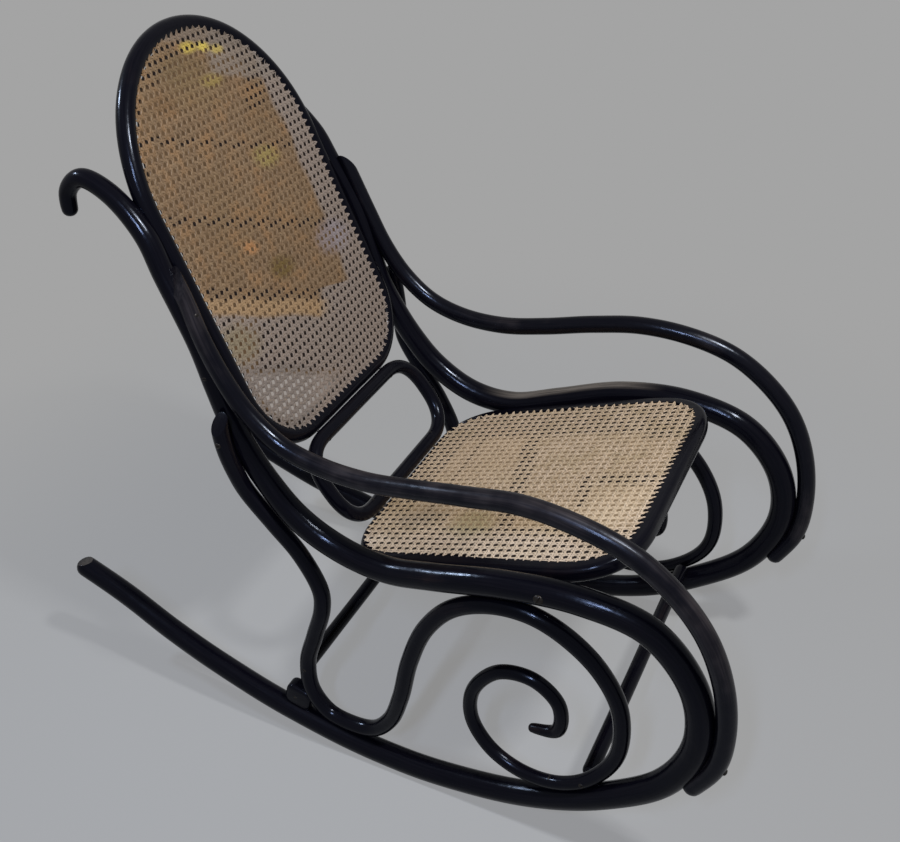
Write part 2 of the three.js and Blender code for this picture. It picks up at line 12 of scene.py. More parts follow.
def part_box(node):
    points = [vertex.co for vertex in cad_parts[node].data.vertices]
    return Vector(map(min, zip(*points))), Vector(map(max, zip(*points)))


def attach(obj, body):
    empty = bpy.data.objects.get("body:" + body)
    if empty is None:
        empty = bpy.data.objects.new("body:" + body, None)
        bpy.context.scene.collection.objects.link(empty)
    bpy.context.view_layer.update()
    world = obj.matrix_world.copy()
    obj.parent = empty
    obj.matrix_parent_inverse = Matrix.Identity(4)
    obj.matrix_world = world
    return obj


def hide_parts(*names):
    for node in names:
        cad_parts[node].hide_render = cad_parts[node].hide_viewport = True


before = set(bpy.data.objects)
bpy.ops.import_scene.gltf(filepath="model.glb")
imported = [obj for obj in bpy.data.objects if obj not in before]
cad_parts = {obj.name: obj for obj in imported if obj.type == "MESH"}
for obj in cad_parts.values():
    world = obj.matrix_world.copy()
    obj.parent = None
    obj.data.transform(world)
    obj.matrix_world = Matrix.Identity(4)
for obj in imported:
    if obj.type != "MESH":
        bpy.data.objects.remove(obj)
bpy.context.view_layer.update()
random.seed(7)

# Sizes below are in millimetres, laid out around the chair's own middle.
# The shift brings them to the frame.
MM = 0.001
FRAME_SHIFT = Vector((0, -58.943, -1.730))
X_AXIS = Vector((1, 0, 0))
SIDES = ((-1, "right"), (1, "left"))

# Side frames. The rods' points are shares of this half width, length and height.
SIDE_SIZES = (250, 1000, 850)
ROCKER_ROD = (
    (0.9, 0.578, 0.212), (0.9, 0.48, 0.165), (0.92, 0.4, 0.125), (0.945, 0.29, 0.083),
    (0.96, 0.165, 0.047), (0.96, 0.03, 0.023), (0.965, -0.095, 0.029), (0.975, -0.215, 0.063),
    (0.99, -0.31, 0.123), (1, -0.388, 0.205), (1, -0.421, 0.305), (0.99, -0.407, 0.402),
    (0.98, -0.35, 0.478), (0.995, -0.264, 0.503), (1, -0.166, 0.493), (0.965, -0.065, 0.457),
    (0.925, 0.01, 0.433), (0.91, 0.078, 0.441), (0.91, 0.142, 0.48), (0.908, 0.188, 0.538),
    (0.904, 0.234, 0.624), (0.904, 0.256, 0.693), (0.904, 0.274, 0.76), (0.904, 0.293, 0.813),
    (0.884, 0.32, 0.869), (0.864, 0.346, 0.926), (0.85, 0.395, 0.981), (0.85, 0.438, 0.999),
    (0.85, 0.464, 0.975), (0.85, 0.468, 0.933),
)
ARM = (
    (0.912, 0.314, 0.906), (0.912, 0.288, 0.844), (0.928, 0.264, 0.778), (0.93, 0.236, 0.714),
    (0.932, 0.203, 0.661), (0.93, 0.157, 0.619), (0.925, 0.1, 0.598), (0.93, 0.035, 0.594),
    (0.945, -0.035, 0.606), (0.97, -0.11, 0.625), (0.98, -0.18, 0.638), (0.995, -0.25, 0.633),
    (1.005, -0.317, 0.61), (1.01, -0.37, 0.568), (1.015, -0.412, 0.51), (1.015, -0.44, 0.434),
    (1.01, -0.452, 0.345), (1.01, -0.447, 0.275), (1, -0.418, 0.207),
)
SCROLL_ROD = (
    (1.028, 0.234, 0.673), (1.032, 0.234, 0.636), (1.028, 0.229, 0.599), (1.004, 0.222, 0.56),
    (0.972, 0.213, 0.522), (0.944, 0.179, 0.464), (0.924, 0.143, 0.409), (0.916, 0.116, 0.342),
    (0.92, 0.115, 0.302), (0.92, 0.131, 0.235), (0.925, 0.146, 0.17), (0.94, 0.14, 0.11),
    (0.945, 0.112, 0.069), (0.95, 0.072, 0.061), (0.955, 0.035, 0.072), (0.965, 0.006, 0.113),
    (0.98, -0.014, 0.18), (0.985, -0.03, 0.27), (0.985, -0.056, 0.354), (0.99, -0.095, 0.413),
    (0.995, -0.15, 0.446), (0.99, -0.2, 0.448), (0.985, -0.245, 0.427), (0.975, -0.29, 0.381),
    (0.97, -0.321, 0.315), (0.975, -0.328, 0.24), (0.985, -0.317, 0.193), (1.005, -0.285, 0.146),
    (1, -0.243, 0.117), (0.98, -0.195, 0.11), (0.96, -0.15, 0.13), (0.95, -0.12, 0.181),
    (0.95, -0.122, 0.247), (0.95, -0.158, 0.302), (0.95, -0.205, 0.309), (0.948, -0.241, 0.274),
    (0.948, -0.241, 0.218), (0.948, -0.202, 0.204),
)
# Radii of the rods, each at a share of the rod's points.
ROCKER_RADII = ((0, 17), (0.16, 18), (0.36, 18.5), (0.62, 18.5), (0.74, 15), (0.86, 15), (1, 11))
ARM_RADII = ((0, 11), (0.2, 13.2), (1, 13.2))
SCROLL_RADII = ((0, 12), (0.15, 12.5), (0.6, 12.5), (0.75, 10), (0.97, 10), (1, 6.5))

# Slanted cuts: a point as shares, and the way that the cut faces: outward, back and up.
ARM_TOP_CUT = ((0.904, 0.297, 0.867), (0.87, 0.17, 0.46))
TAIL_CUT = ((0.9, 0.555, 0.2205), (0, 0.24, 0.97))
SCROLL_TOP_CUT = ((0.98, 0.234, 0.671), (0.76, 0.2, 0.65))

# Outline of the back's cane: half width, flat foot, corner, start of the crown and its height.
BACK_HALF = 188
BACK_FOOT = 100
BACK_CORNER = 92
BACK_SHOULDER = 353
BACK_CROWN = 200
HOOP_RADIUS = 13
HOOP_MARGIN = 8
HOOP_LIFT = -10.4

# Outlines of the seat's cane and of the ring below the back.
SEAT_HALVES = (190, 208)
SEAT_DEPTH = 398
SEAT_CORNERS = (72, 86)
RING_HALF = 157
RING_HEIGHT = 127
RING_CORNER = 60
RING_RADIUS = 10.8

# Stretchers, each with its place back and up.
STRETCHER_RADIUS = 10.5
STRETCHER_REACH = 238
STRETCHER_STEPS = 60
STRETCHERS = {"front_stretcher": (-288, 123), "rear_stretcher": (148, 136)}

# The seat frame's section, measured down from its upper face and out from the cane.
RIM_INNER = 12
RIM_POCKET = 0.8
RIM_OUTER = (21, 18, 8, 26)
RIM_THICK = 22
RIM_EDGE = 7.5
RIM_CHAMFER = 5
POCKET_DEPTH = 2.7

# A leg block: its middle, sizes and rounding, and its tilt in degrees.
BLOCK_MIDDLE = (236, 160, 75)
BLOCK_SIZES = (46, 40, 24)
BLOCK_EDGE = 6
BLOCK_CORNER = 14
BLOCK_TILT = 14

# How the meshes are made. Angles are in degrees.
ROD_SIDES = 28
ROD_STEP = 5
ROD_LUMPS = 0.012
BENT_LUMPS = 0.015
END_ROUNDING = 0.9
END_TURNS = (0, 18, 36, 54, 72, 90)
QUARTER = (0, 15, 30, 45, 60, 75, 90)
CUT_EDGE = 0.9
CUT_REACH = 150
EASE = 110
SHARP_ANGLE = 40

# The weave: a strand's thickness, the heights and places at which strands cross, and its ends.
STRAND_THICK = 0.7
STRAND_SECTION = ((-1, -0.1), (-0.55, 0.42), (0.55, 0.42), (1, -0.1), (0, -0.5))
STRAND_DRIFT = 0.22
PAIR_OFFSET = 1.66
LACE = 0.3
DIAGONAL_RISE = 0.62
DIAGONAL_SHORT = 2.2
FLAT_RUN = 2.4
TIP = 2.6
END_SPREAD = 0.9
MIN_STRAND = 9
OUTLINE_STEP = 3
WEAVE_SHARP_ANGLE = 75

# The film between the strands, a sheet of painted shade in the holes, and the depth of the weave's
# middle below the cane's face.
FILM_THICK = 0.12
FILM_DEPTHS = (3, 8, 18, 34, 52, 80)
MIDDLE = 1.2


def place(x, y, z):
    """A point given in millimetres, in the frame and in metres."""
    return (Vector((x, y, z)) + FRAME_SHIFT) * MM


def side_place(shares, side):
    """A point of a side frame, given as shares of its sizes."""
    out, along, up = (share * size for share, size in zip(shares, SIDE_SIZES))
    return place(side * out, along, up)


class Plane:
    """A leaning plane: across is X, along runs up its slope, and lift stands off it."""

    def __init__(self, back, height, slope):
        angle = math.radians(slope)
        self.origin = Vector((0, back, height))
        self.up = Vector((0, math.cos(angle), math.sin(angle)))
        self.out = X_AXIS.cross(self.up)

    def at(self, across, along, lift=0):
        spot = self.origin + X_AXIS * across + self.up * along + self.out * lift
        return (spot + FRAME_SHIFT) * MM


BACK_PLANE = Plane(188, 481, 65.2)
SEAT_PLANE = Plane(86, 345.5, 162.6)
RING_PLANE = Plane(95, 357, 53)


# Lines that the rods are bent along.
def spline(points, step):
    """A smooth line through points, as (point, share of the point list) pairs."""
    ends = [2 * points[0] - points[1], *points, 2 * points[-1] - points[-2]]
    spans = len(points) - 1
    line = []
    for i in range(spans):
        p0, p1, p2, p3 = ends[i:i + 4]
        d0, d1, d2 = (math.sqrt((b - a).length) for a, b in ((p0, p1), (p1, p2), (p2, p3)))
        t1 = ((p1 - p0) / d0 - (p2 - p0) / (d0 + d1) + (p2 - p1) / d1) * d1
        t2 = ((p2 - p1) / d1 - (p3 - p1) / (d1 + d2) + (p3 - p2) / d2) * d1
        steps = max(2, math.ceil((p2 - p1).length / step))
        for k in range(steps):
            w = k / steps
            bend = (2 * p1 - 2 * p2 + t1 + t2) * w + (3 * p2 - 3 * p1 - 2 * t1 - t2)
            line.append((p1 + t1 * w + bend * w * w, (i + w) / spans))
    line.append((points[-1].copy(), 1.0))
    return line


def arc(cx, cy, rx, ry, start, end, steps):
    """Points along part of an ellipse, between two angles in degrees."""
    angles = [math.radians(start + (end - start) * k / steps) for k in range(steps + 1)]
    return [(cx + rx * math.cos(a), cy + ry * math.sin(a)) for a in angles]


def straight(start, end, steps):
    """Points along a straight line."""
    across, along = end[0] - start[0], end[1] - start[1]
    return [(start[0] + across * k / steps, start[1] + along * k / steps) for k in range(steps + 1)]


def back_outline(margin, fine=24):
    """The outline of the back's cane, widened by a margin. The count of points never changes."""
    half = BACK_HALF + margin
    width, height = half - BACK_FOOT, BACK_CORNER + margin
    points = straight((-BACK_FOOT, -margin), (BACK_FOOT, -margin), fine)
    points += arc(BACK_FOOT, BACK_CORNER, width, height, -90, 0, fine)[1:]
    points += straight((half, BACK_CORNER), (half, BACK_SHOULDER), 2 * fine)[1:]
    points += arc(0, BACK_SHOULDER, half, BACK_CROWN + margin, 0, 180, 4 * fine)[1:]
    points += straight((-half, BACK_SHOULDER), (-half, BACK_CORNER), 2 * fine)[1:]
    points += arc(-BACK_FOOT, BACK_CORNER, width, height, 180, 270, fine)[1:-1]
    return points


def tapered_outline(rear_half, front_half, rear, front, rear_corner, front_corner, fine=20):
    """A rounded outline with straight sides. The count of points never changes."""
    corners = [(Vector((x, y)), radius) for x, y, radius in (
        (rear_half, rear, rear_corner), (front_half, front, front_corner),
        (-front_half, front, front_corner), (-rear_half, rear, rear_corner))]
    points = []
    for i, (here, radius) in enumerate(corners):
        before = corners[i - 1][0]
        after, next_radius = corners[(i + 1) % 4]
        start = here + (before - here).normalized() * radius
        end = here + (after - here).normalized() * radius
        for k in range(fine + 1):
            w = k / fine
            spot = start * (1 - w) ** 2 + here * 2 * w * (1 - w) + end * w * w
            points.append((spot.x, spot.y))
        far = after + (here - after).normalized() * next_radius
        points += straight(end, far, 2 * fine)[1:-1]
    return points


def seat_outline(side, front, rear, corner):
    """The outline of the seat's cane, widened at its sides, front, rear and corners."""
    rear_half, front_half = SEAT_HALVES
    rear_corner, front_corner = SEAT_CORNERS
    return tapered_outline(rear_half + side, front_half + side, -rear, SEAT_DEPTH + front,
                           rear_corner + corner, front_corner + corner)


def even(points, step):
    """The points of a closed outline, spaced evenly."""
    loop = np.array([*points, points[0]], float)
    run = np.concatenate([[0], np.cumsum(np.linalg.norm(np.diff(loop, axis=0), axis=1))])
    stops = np.linspace(0, run[-1], max(8, round(run[-1] / step)), endpoint=False)
    return list(zip(np.interp(stops, run, loop[:, 0]), np.interp(stops, run, loop[:, 1])))


# Meshes.
def smooth(mesh, sharp_angle):
    mesh.shade_smooth()
    mesh.set_sharp_from_angle(angle=math.radians(sharp_angle))


def add_to_scene(name, data, **settings):
    """A new object of the scene, whose data takes the settings."""
    for key, value in settings.items():
        setattr(data, key, value)
    thing = bpy.data.objects.new(name, data)
    bpy.context.scene.collection.objects.link(thing)
    return thing


def make_object(name, verts, faces, straightened, sharp_angle=SHARP_ANGLE, indices=None):
    """A mesh object that keeps where each point lies on the straightened piece."""
    mesh = bpy.data.meshes.new(name)
    mesh.from_pydata([tuple(v) for v in verts], [], faces)
    layer = mesh.attributes.new("straightened", "FLOAT_VECTOR", "POINT")
    layer.data.foreach_set("vector", np.array(straightened, np.float32).ravel())
    if indices is not None:
        mesh.polygons.foreach_set("material_index", np.array(indices, np.int32))
    mesh.update()
    smooth(mesh, sharp_angle)
    return add_to_scene(name, mesh)


def bridge(near, far, size, flip=False):
    """The faces between two rings of points, each given by the number of its first point."""
    quads = []
    for k in range(size):
        j = (k + 1) % size
        quad = (near + k, near + j, far + j, far + k)
        quads.append((quad[0], quad[3], quad[2], quad[1]) if flip else quad)
    return quads


def caps(last, size):
    """The faces that close the first and the last ring of points."""
    return [tuple(reversed(range(size))), tuple(range(last, last + size))]


def face_outward(piece):
    """Turns every face of a closed mesh outward."""
    bm = bmesh.new()
    bm.from_mesh(piece.data)
    bmesh.ops.recalc_face_normals(bm, faces=bm.faces)
    bm.to_mesh(piece.data)
    bm.free()
    return piece


def directions(line, closed):
    """The way that a line runs at each of its points."""
    count = len(line)
    found = []
    for i in range(count):
        before = line[i - 1] if closed or i > 0 else line[i]
        after = line[(i + 1) % count] if closed or i < count - 1 else line[i]
        found.append((after - before).normalized())
    return found


def tube(name, line, radii, across, closed=False, lumps=ROD_LUMPS):
    """A round rod along a line, its ends rounded over unless it is closed."""
    stations = []
    run = 0.0
    for i, (spot, tangent, radius) in enumerate(zip(line, directions(line, closed), radii)):
        if i:
            run += (spot - line[i - 1]).length
        stations.append((spot, tangent, radius * MM, run))
    if not closed:
        stations = rounded_ends(stations, run)
    verts, straightened, faces = [], [], []
    phase = random.uniform(0, 9)
    for spot, tangent, radius, run in stations:
        sideways = (across - tangent * across.dot(tangent)).normalized()
        inward = tangent.cross(sideways)
        for k in range(ROD_SIDES):
            angle = 2 * math.pi * k / ROD_SIDES
            # Two slow waves, one along the rod and one that also turns round it.
            swell = 1 + lumps * math.sin(run * 37 + phase) * math.sin(run * 11 + angle + phase)
            offset = inward * math.cos(angle) + sideways * math.sin(angle)
            verts.append(spot + offset * radius * swell)
            straightened.append((run, radius * math.cos(angle), radius * math.sin(angle) + phase))
    count = len(stations)
    for i in range(count if closed else count - 1):
        faces += bridge(i * ROD_SIDES, (i + 1) % count * ROD_SIDES, ROD_SIDES)
    if not closed:
        faces += caps((count - 1) * ROD_SIDES, ROD_SIDES)
    return make_object(name, verts, faces, straightened)


def rounded_ends(stations, total):
    """The stations of an open rod, with rings that round its two ends over."""
    first, last = stations[0], stations[-1]
    edge_first, edge_last = first[2] * END_ROUNDING, last[2] * END_ROUNDING
    middle = [s for s in stations if edge_first < s[3] < total - edge_last]
    steps = [math.radians(turn) for turn in END_TURNS]

    def ring(end, edge, turn, way):
        spot, tangent, radius, run = end
        back = edge * (1 - math.cos(turn)) * way
        return spot + tangent * back, tangent, radius - edge + edge * math.sin(turn), run + back

    # At the first turn the ring lies in the end's flat, and at the last one it has the full width.
    front = [ring(first, edge_first, turn, 1) for turn in steps]
    tail = [ring(last, edge_last, turn, -1) for turn in reversed(steps)]
    return front + middle + tail


def cut(piece, point, facing):
    """Takes away the end of a piece on the outer side of a plane, and eases the new edge."""
    bm = bmesh.new()
    bm.from_mesh(piece.data)
    near = {v for v in bm.verts if (v.co - point).length < CUT_REACH * MM}
    geom = [*near, *(e for e in bm.edges if set(e.verts) <= near),
            *(f for f in bm.faces if set(f.verts) <= near)]
    result = bmesh.ops.bisect_plane(bm, geom=geom, plane_co=point, plane_no=facing,
                                    clear_outer=True)
    rim = [e for e in result["geom_cut"] if isinstance(e, bmesh.types.BMEdge)]
    bmesh.ops.edgeloop_fill(bm, edges=rim)
    rim = [e for e in rim if e.is_valid]
    bmesh.ops.bevel(bm, geom=rim, offset=CUT_EDGE * MM, segments=2, profile=0.6,
                    affect="EDGES", clamp_overlap=True)
    bmesh.ops.recalc_face_normals(bm, faces=bm.faces)
    bm.to_mesh(piece.data)
    bm.free()
    smooth(piece.data, SHARP_ANGLE)


def stay_within(piece, node):
    """Eases a piece's outermost bends in, so that it stays in the box of its own solid."""
    low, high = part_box(node)
    spots = np.array([v.co for v in piece.data.vertices])
    for axis in range(3):
        span = high[axis] - low[axis]
        ease = min(EASE * MM, span / 2)
        for way, limit in ((-1, low[axis]), (1, high[axis])):
            reach = spots[:, axis] * way
            excess = reach.max() - limit * way
            if excess > 0:
                share = np.clip(1 - (reach.max() - reach) / ease, 0, 1)
                spots[:, axis] -= way * excess * share ** 2
    piece.data.vertices.foreach_set("co", spots.ravel())
    piece.data.update()


def rest_on_ground(piece):
    """Flattens what would reach below the ground, as the worn flats under the runners do."""
    for vertex in piece.data.vertices:
        vertex.co.z = max(vertex.co.z, 0.0)
    piece.data.update()


# Materials, from procedural nodes.
class Nodes:
    """A node tree, with short calls to add nodes and join them."""

    def __init__(self, name):
        self.material = bpy.data.materials.new(name)
        self.material.use_nodes = True
        self.clear(self.material.node_tree)
        self.shader = self.add("ShaderNodeBsdfPrincipled")
        self.surface = self.add("ShaderNodeOutputMaterial").inputs["Surface"]
        self.put(self.surface, self.shader.outputs[0])

    @classmethod
    def of_tree(cls, tree):
        n = cls.__new__(cls)
        n.clear(tree)
        return n

    def clear(self, tree):
        self.tree = tree
        tree.nodes.clear()

    def add(self, kind, inputs=None, **settings):
        node = self.tree.nodes.new(kind)
        for key, value in settings.items():
            setattr(node, key, value)
        for key, value in (inputs or {}).items():
            self.put(node.inputs[key], value)
        return node

    def put(self, socket, value):
        if isinstance(value, bpy.types.NodeSocket):
            self.tree.links.new(value, socket)
        else:
            socket.default_value = value

    def attribute(self, name):
        return self.add("ShaderNodeAttribute", attribute_name=name).outputs["Vector"]

    def here(self):
        return self.add("ShaderNodeTexCoord").outputs["Object"]

    def scaled(self, vector, scale):
        return self.add("ShaderNodeMapping", {"Vector": vector, "Scale": scale}).outputs[0]

    def noise(self, vector, scale, detail=3.0, rough=0.55, distortion=0.0):
        inputs = {"Vector": vector, "Scale": scale, "Detail": detail, "Roughness": rough,
                  "Distortion": distortion}
        return self.add("ShaderNodeTexNoise", inputs).outputs[0]

    def ramp(self, value, low, high, to_low=0.0, to_high=1.0):
        """A smooth step from one value to another."""
        inputs = {"Value": value, "From Min": low, "From Max": high,
                  "To Min": to_low, "To Max": to_high}
        return self.add("ShaderNodeMapRange", inputs, interpolation_type="SMOOTHSTEP").outputs[0]

    def mix(self, share, a, b):
        node = self.add("ShaderNodeMix", data_type="RGBA")
        self.put(node.inputs[0], share)
        self.put(node.inputs[6], a)
        self.put(node.inputs[7], b)
        return node.outputs[2]

    def math(self, operation, a, b=0.0):
        node = self.add("ShaderNodeMath", operation=operation)
        self.put(node.inputs[0], a)
        self.put(node.inputs[1], b)
        return node.outputs[0]

    def plus(self, a, b):
        return self.math("ADD", a, b)

    def minus(self, a, b):
        return self.math("SUBTRACT", a, b)

    def times(self, *values):
        """The product of some values."""
        return reduce(partial(self.math, "MULTIPLY"), values)

    def most(self, *values):
        """The largest of some values."""
        return reduce(partial(self.math, "MAXIMUM"), values)

    def band(self, value, low, high, soft=0.004):
        """One between two limits and none beyond them."""
        return self.times(self.ramp(value, low - soft, low + soft),
                          self.ramp(value, high + soft, high - soft))

    def parts(self, vector):
        return self.add("ShaderNodeSeparateXYZ", {"Vector": vector}).outputs

    def bump(self, height, strength, distance):
        inputs = {"Height": height, "Strength": strength, "Distance": distance}
        return self.add("ShaderNodeBump", inputs).outputs[0]

    def finish(self, colour, rough, gloss, **others):
        """The material, with its surface filled in."""
        inputs = {"Base Color": colour, "Roughness": rough, "Specular IOR Level": gloss, **others}
        for key, value in inputs.items():
            self.put(self.shader.inputs[key.replace("_", " ")], value)
        return self.material


def opaque(colour, share=1.0):
    """A colour scaled by a share, with its alpha."""
    return (*(share * c for c in colour), 1)


# The lacquer's two blacks, and the bare wood below it.
INK = (opaque((0.0012, 0.0011, 0.0026)), opaque((0.003, 0.0026, 0.0042)))
BARE_WOOD = opaque((0.15, 0.125, 0.1))
LACQUER_TINT = opaque((0.78, 0.85, 1.0))


def lacquer(name, brown, brown_from, brown_to, worn=None, gloss=0.12, sheen=(0.12, 0.21)):
    """Black lacquer on bent wood: drawn-out grain, rubbed patches in a given colour that can also
    paint sheen, small dents.
    """
    n = Nodes(name)
    along = n.attribute("straightened")
    grain = n.noise(n.scaled(along, (14, 420, 420)), 1.0, 4.0, 0.6, 0.4)
    coarse = n.noise(n.scaled(along, (5, 60, 60)), 1.0, 3.0)
    patches = n.noise(n.here(), 7.0, 4.0, 0.6)
    dents = n.noise(n.here(), 55.0, 2.0)
    rubbing = n.plus(n.times(patches, 0.7), n.times(coarse, 0.3))
    rubbed = n.ramp(rubbing, brown_from, brown_to)
    streaks = n.times(rubbed, n.ramp(grain, 0.35, 0.65, 0.35, 1.0))
    base = n.mix(n.ramp(grain, 0.3, 0.7), *INK)
    # The patches are rubbed wear; the arms' lighter patch colour is also painted sheen.
    colour = n.mix(streaks, base, opaque(brown))
    rough = n.plus(n.ramp(patches, 0.3, 0.75, *sheen), n.times(rubbed, 0.14))
    if worn is not None:
        bare = n.times(worn(n), n.ramp(grain, 0.3, 0.62, 0.45, 1.0))
        colour = n.mix(bare, colour, BARE_WOOD)
        rough = n.plus(rough, n.times(bare, 0.25))
    relief = n.plus(n.times(grain, 0.35), n.plus(dents, n.times(coarse, 1.6)))
    return n.finish(colour, n.plus(rough, n.times(grain, 0.05)), gloss,
                    Specular_Tint=LACQUER_TINT, Normal=n.bump(relief, 0.4, 0.001))


def bare_patches(n):
    """Where a rail's top and a runner's cut tip are rubbed through."""
    x, y, z = n.parts(n.here())
    facing = n.parts(n.add("ShaderNodeNewGeometry").outputs["Normal"])[2]
    top = n.ramp(facing, 0.72, 0.93)
    rail = n.times(n.ramp(x, 0.1, 0.15), n.ramp(z, 0.3, 0.34), n.band(y, -0.25, -0.03, 0.04),
                   top, 0.75)
    tip = n.times(n.ramp(y, 0.47, 0.49), n.ramp(facing, 0.93, 0.98), 0.32)
    return n.most(rail, tip)


def turned(n, weights, shift):
    """A distance along a slanting line through the chair."""
    inputs = {0: n.here(), 1: weights}
    product = n.add("ShaderNodeVectorMath", inputs, operation="DOT_PRODUCT")
    return n.plus(product.outputs["Value"], shift)


def back_lines(n):
    """Distances across and up the back on two slanting lines, which its stains and its painted
    shade follow.
    """
    drift = n.times(n.minus(n.noise(n.here(), 16.0, 2.0), 0.5), 0.014)
    level = n.plus(turned(n, (0.4729, -0.1728, -0.374), 0.2016), drift)
    rise = n.plus(turned(n, (0.49, 0.3599, 0.7789), -0.41975), drift)
    fan = n.plus(n.times(rise, 0.7), 0.052)
    return level, n.minus(rise, n.times(fan, n.plus(level, 0.17)))


def back_far_side(n, level, rise):
    """The far part of the back, whose inner border leans and steps in near the foot."""
    lean = n.times(n.math("MAXIMUM", n.minus(rise, 0.14), 0.0), 0.43)
    step = n.ramp(rise, 0.14, 0.126, -0.004, 0.036)
    return n.ramp(n.plus(level, n.plus(lean, step)), -0.005, 0.005)


def cane(name, pale, deep, worn, zones):
    """Rattan skin: fibres along each strand, strands of differing tone, broad stains, dark specks
    and small painted glints.
    """
    n = Nodes(name)
    strand = n.attribute("straightened")
    fibres = n.noise(n.scaled(strand, (45, 2600, 1)), 1.0, 3.0, 0.6)
    tone = n.noise(n.scaled(strand, (9, 0, 3.7)), 1.0, 2.0, 0.7)
    patches = n.noise(n.here(), 9.0, 4.0, 0.6)
    colour = n.mix(n.ramp(tone, 0.3, 0.7), opaque(deep), opaque(pale))
    colour = n.mix(n.times(n.ramp(fibres, 0.35, 0.7), 0.4), colour, opaque(deep))
    colour = n.mix(n.times(n.ramp(patches, 0.45, 0.7), 0.5), colour, opaque(worn))
    for share, stain in zones(n):
        colour = n.mix(share, colour, opaque(stain))
    specks_and_glints = n.noise(n.here(), 240.0, 3.0, 0.7)
    # Small dark specks, and small pale flecks that are painted glints.
    colour = n.mix(n.ramp(specks_and_glints, 0.52, 0.7, 0.0, 0.6), colour, opaque(deep, 0.4))
    colour = n.mix(n.ramp(specks_and_glints, 0.43, 0.3, 0.0, 0.4), colour, opaque(pale, 1.25))
    return n.finish(colour, n.ramp(fibres, 0.2, 0.8, 0.45, 0.65), 0.35,
                    Normal=n.bump(fibres, 0.5, 0.0004))


def spot(n, across, up, radius, point):
    """A round patch that fades out from a point on two slanting lines."""
    a = n.math("POWER", n.minus(across, point[0]), 2.0)
    b = n.math("POWER", n.minus(up, point[1]), 2.0)
    return n.ramp(n.math("SQRT", n.plus(a, b)), radius, radius * 0.3)


def spots(n, across, up, table):
    """Round patches from a table of across, up, radius, strength and colour."""
    return [(n.times(spot(n, across, up, radius, (x, y)), share), colour)
            for x, y, radius, share, colour in table]


def back_stains_and_highlights(n):
    """Greyer straw at the far side and foot, warm orange and yellow-green stains elsewhere, and
    small painted highlights near the top edge.
    """
    level, rise = back_lines(n)
    mottle = n.noise(n.here(), 30.0, 4.0, 0.65)
    warm = n.ramp(mottle, 0.46, 0.68, 0.0, 0.65)
    grey = n.most(back_far_side(n, level, rise), n.ramp(rise, 0.095, 0.085))
    stains = [
        (n.times(grey, 0.85), (0.2, 0.156, 0.125)),
        (n.times(n.minus(1.0, grey), warm), (0.22, 0.115, 0.045)),
        (n.times(n.ramp(level, -0.198, -0.182), n.ramp(rise, 0.428, 0.438), 0.75),
         (0.17, 0.135, 0.105)),
        (n.times(n.ramp(rise, 0.476, 0.486), 0.7), (0.13, 0.1, 0.075)),
        (n.times(n.ramp(rise, 0.03, 0.015), n.ramp(level, -0.03, -0.06), 0.6),
         (0.13, 0.105, 0.085)),
        (n.times(n.band(rise, 0.09, 0.112, 0.005), n.ramp(level, -0.02, -0.04), 0.7),
         (0.3, 0.185, 0.09)),
    ]
    return stains + spots(n, level, rise, BACK_SPOTS_AND_HIGHLIGHTS)


def seat_lines(n):
    """Distances across the seat and forward on it."""
    drift = n.times(n.minus(n.noise(n.here(), 12.0, 2.0), 0.5), 0.02)
    across = n.plus(n.parts(n.here())[0], drift)
    forward = n.plus(turned(n, (0.0, -0.9542, 0.299), -0.07697), drift)
    return across, forward


def seat_stains(n):
    """Warmer straw toward the rear, and soft brown smudges."""
    across, forward = seat_lines(n)
    mottle = n.ramp(n.noise(n.here(), 30.0, 4.0, 0.65), 0.46, 0.68, 0.0, 0.6)
    return [
        (mottle, (0.34, 0.245, 0.135)),
        *spots(n, across, forward, SEAT_SPOTS),
        (n.times(n.ramp(across, -0.13, -0.16), 0.3), (0.42, 0.33, 0.26)),
    ]


def shade(name, faint, zones):
    """Painted shade for the film in the weave's holes: a colour standing in for the shade and the
    background seen through them, darker in some parts of the panel than in others.
    """
    n = Nodes(name)
    cloud = n.ramp(n.noise(n.here(), 40.0, 3.0), 0.35, 0.7)
    colour = n.mix(cloud, opaque(faint), opaque(faint, 0.7))
    for share, depth in zones(n):
        colour = n.mix(share, colour, opaque(depth))
    return n.finish(colour, n.ramp(n.noise(n.here(), 300.0), 0.3, 0.7, 0.75, 0.95), 0.1)


# Painted shade and painted light for the holes: near black, and a pale grey like lit background.
DARK = (0.006, 0.004, 0.0035)
PALE = (0.3, 0.26, 0.22)


def back_hole_painted_shade(n):
    """Painted shade and painted light in the back's holes: where they are painted dark, and where
    painted pale like lit background seen through.
    """
    level, rise = back_lines(n)
    depth = n.parts(n.attribute("straightened"))[0]
    veil = spot(n, level, rise, 0.034, (-0.02, 0.2))
    far = n.times(back_far_side(n, level, rise), n.ramp(rise, 0.012, 0.026), n.minus(1.0, veil))
    top = n.times(n.ramp(depth, 0.032, 0.024), n.ramp(rise, 0.4, 0.42))
    cluster = n.times(n.band(level, -0.143, -0.117), n.band(rise, 0.385, 0.465))
    foot = n.times(n.ramp(level, -0.122, -0.114), n.band(rise, 0.016, 0.088))
    corner = n.times(n.band(level, -0.18, -0.15), n.band(rise, 0.055, 0.086))
    rim = n.times(n.ramp(depth, 0.028, 0.02), n.ramp(level, -0.085, -0.07))
    rows = [n.band(rise, low, high, 0.002)
            for low, high in ((0.327, 0.338), (0.212, 0.226), (0.11, 0.127))]
    # Painted shade: the holes in these zones, and those next to the frame, are dark.
    dark = n.most(far, top, cluster, foot, corner, rim, *rows, n.ramp(depth, 0.009, 0.006))
    # Painted light: holes near the foot are pale, like lit background seen through.
    pale = n.times(n.ramp(rise, 0.014, 0.004), n.ramp(depth, 0.01, 0.016),
                   n.ramp(level, 0.0, -0.05))
    return (n.times(dark, 0.96), DARK), (n.times(pale, 0.9), PALE)


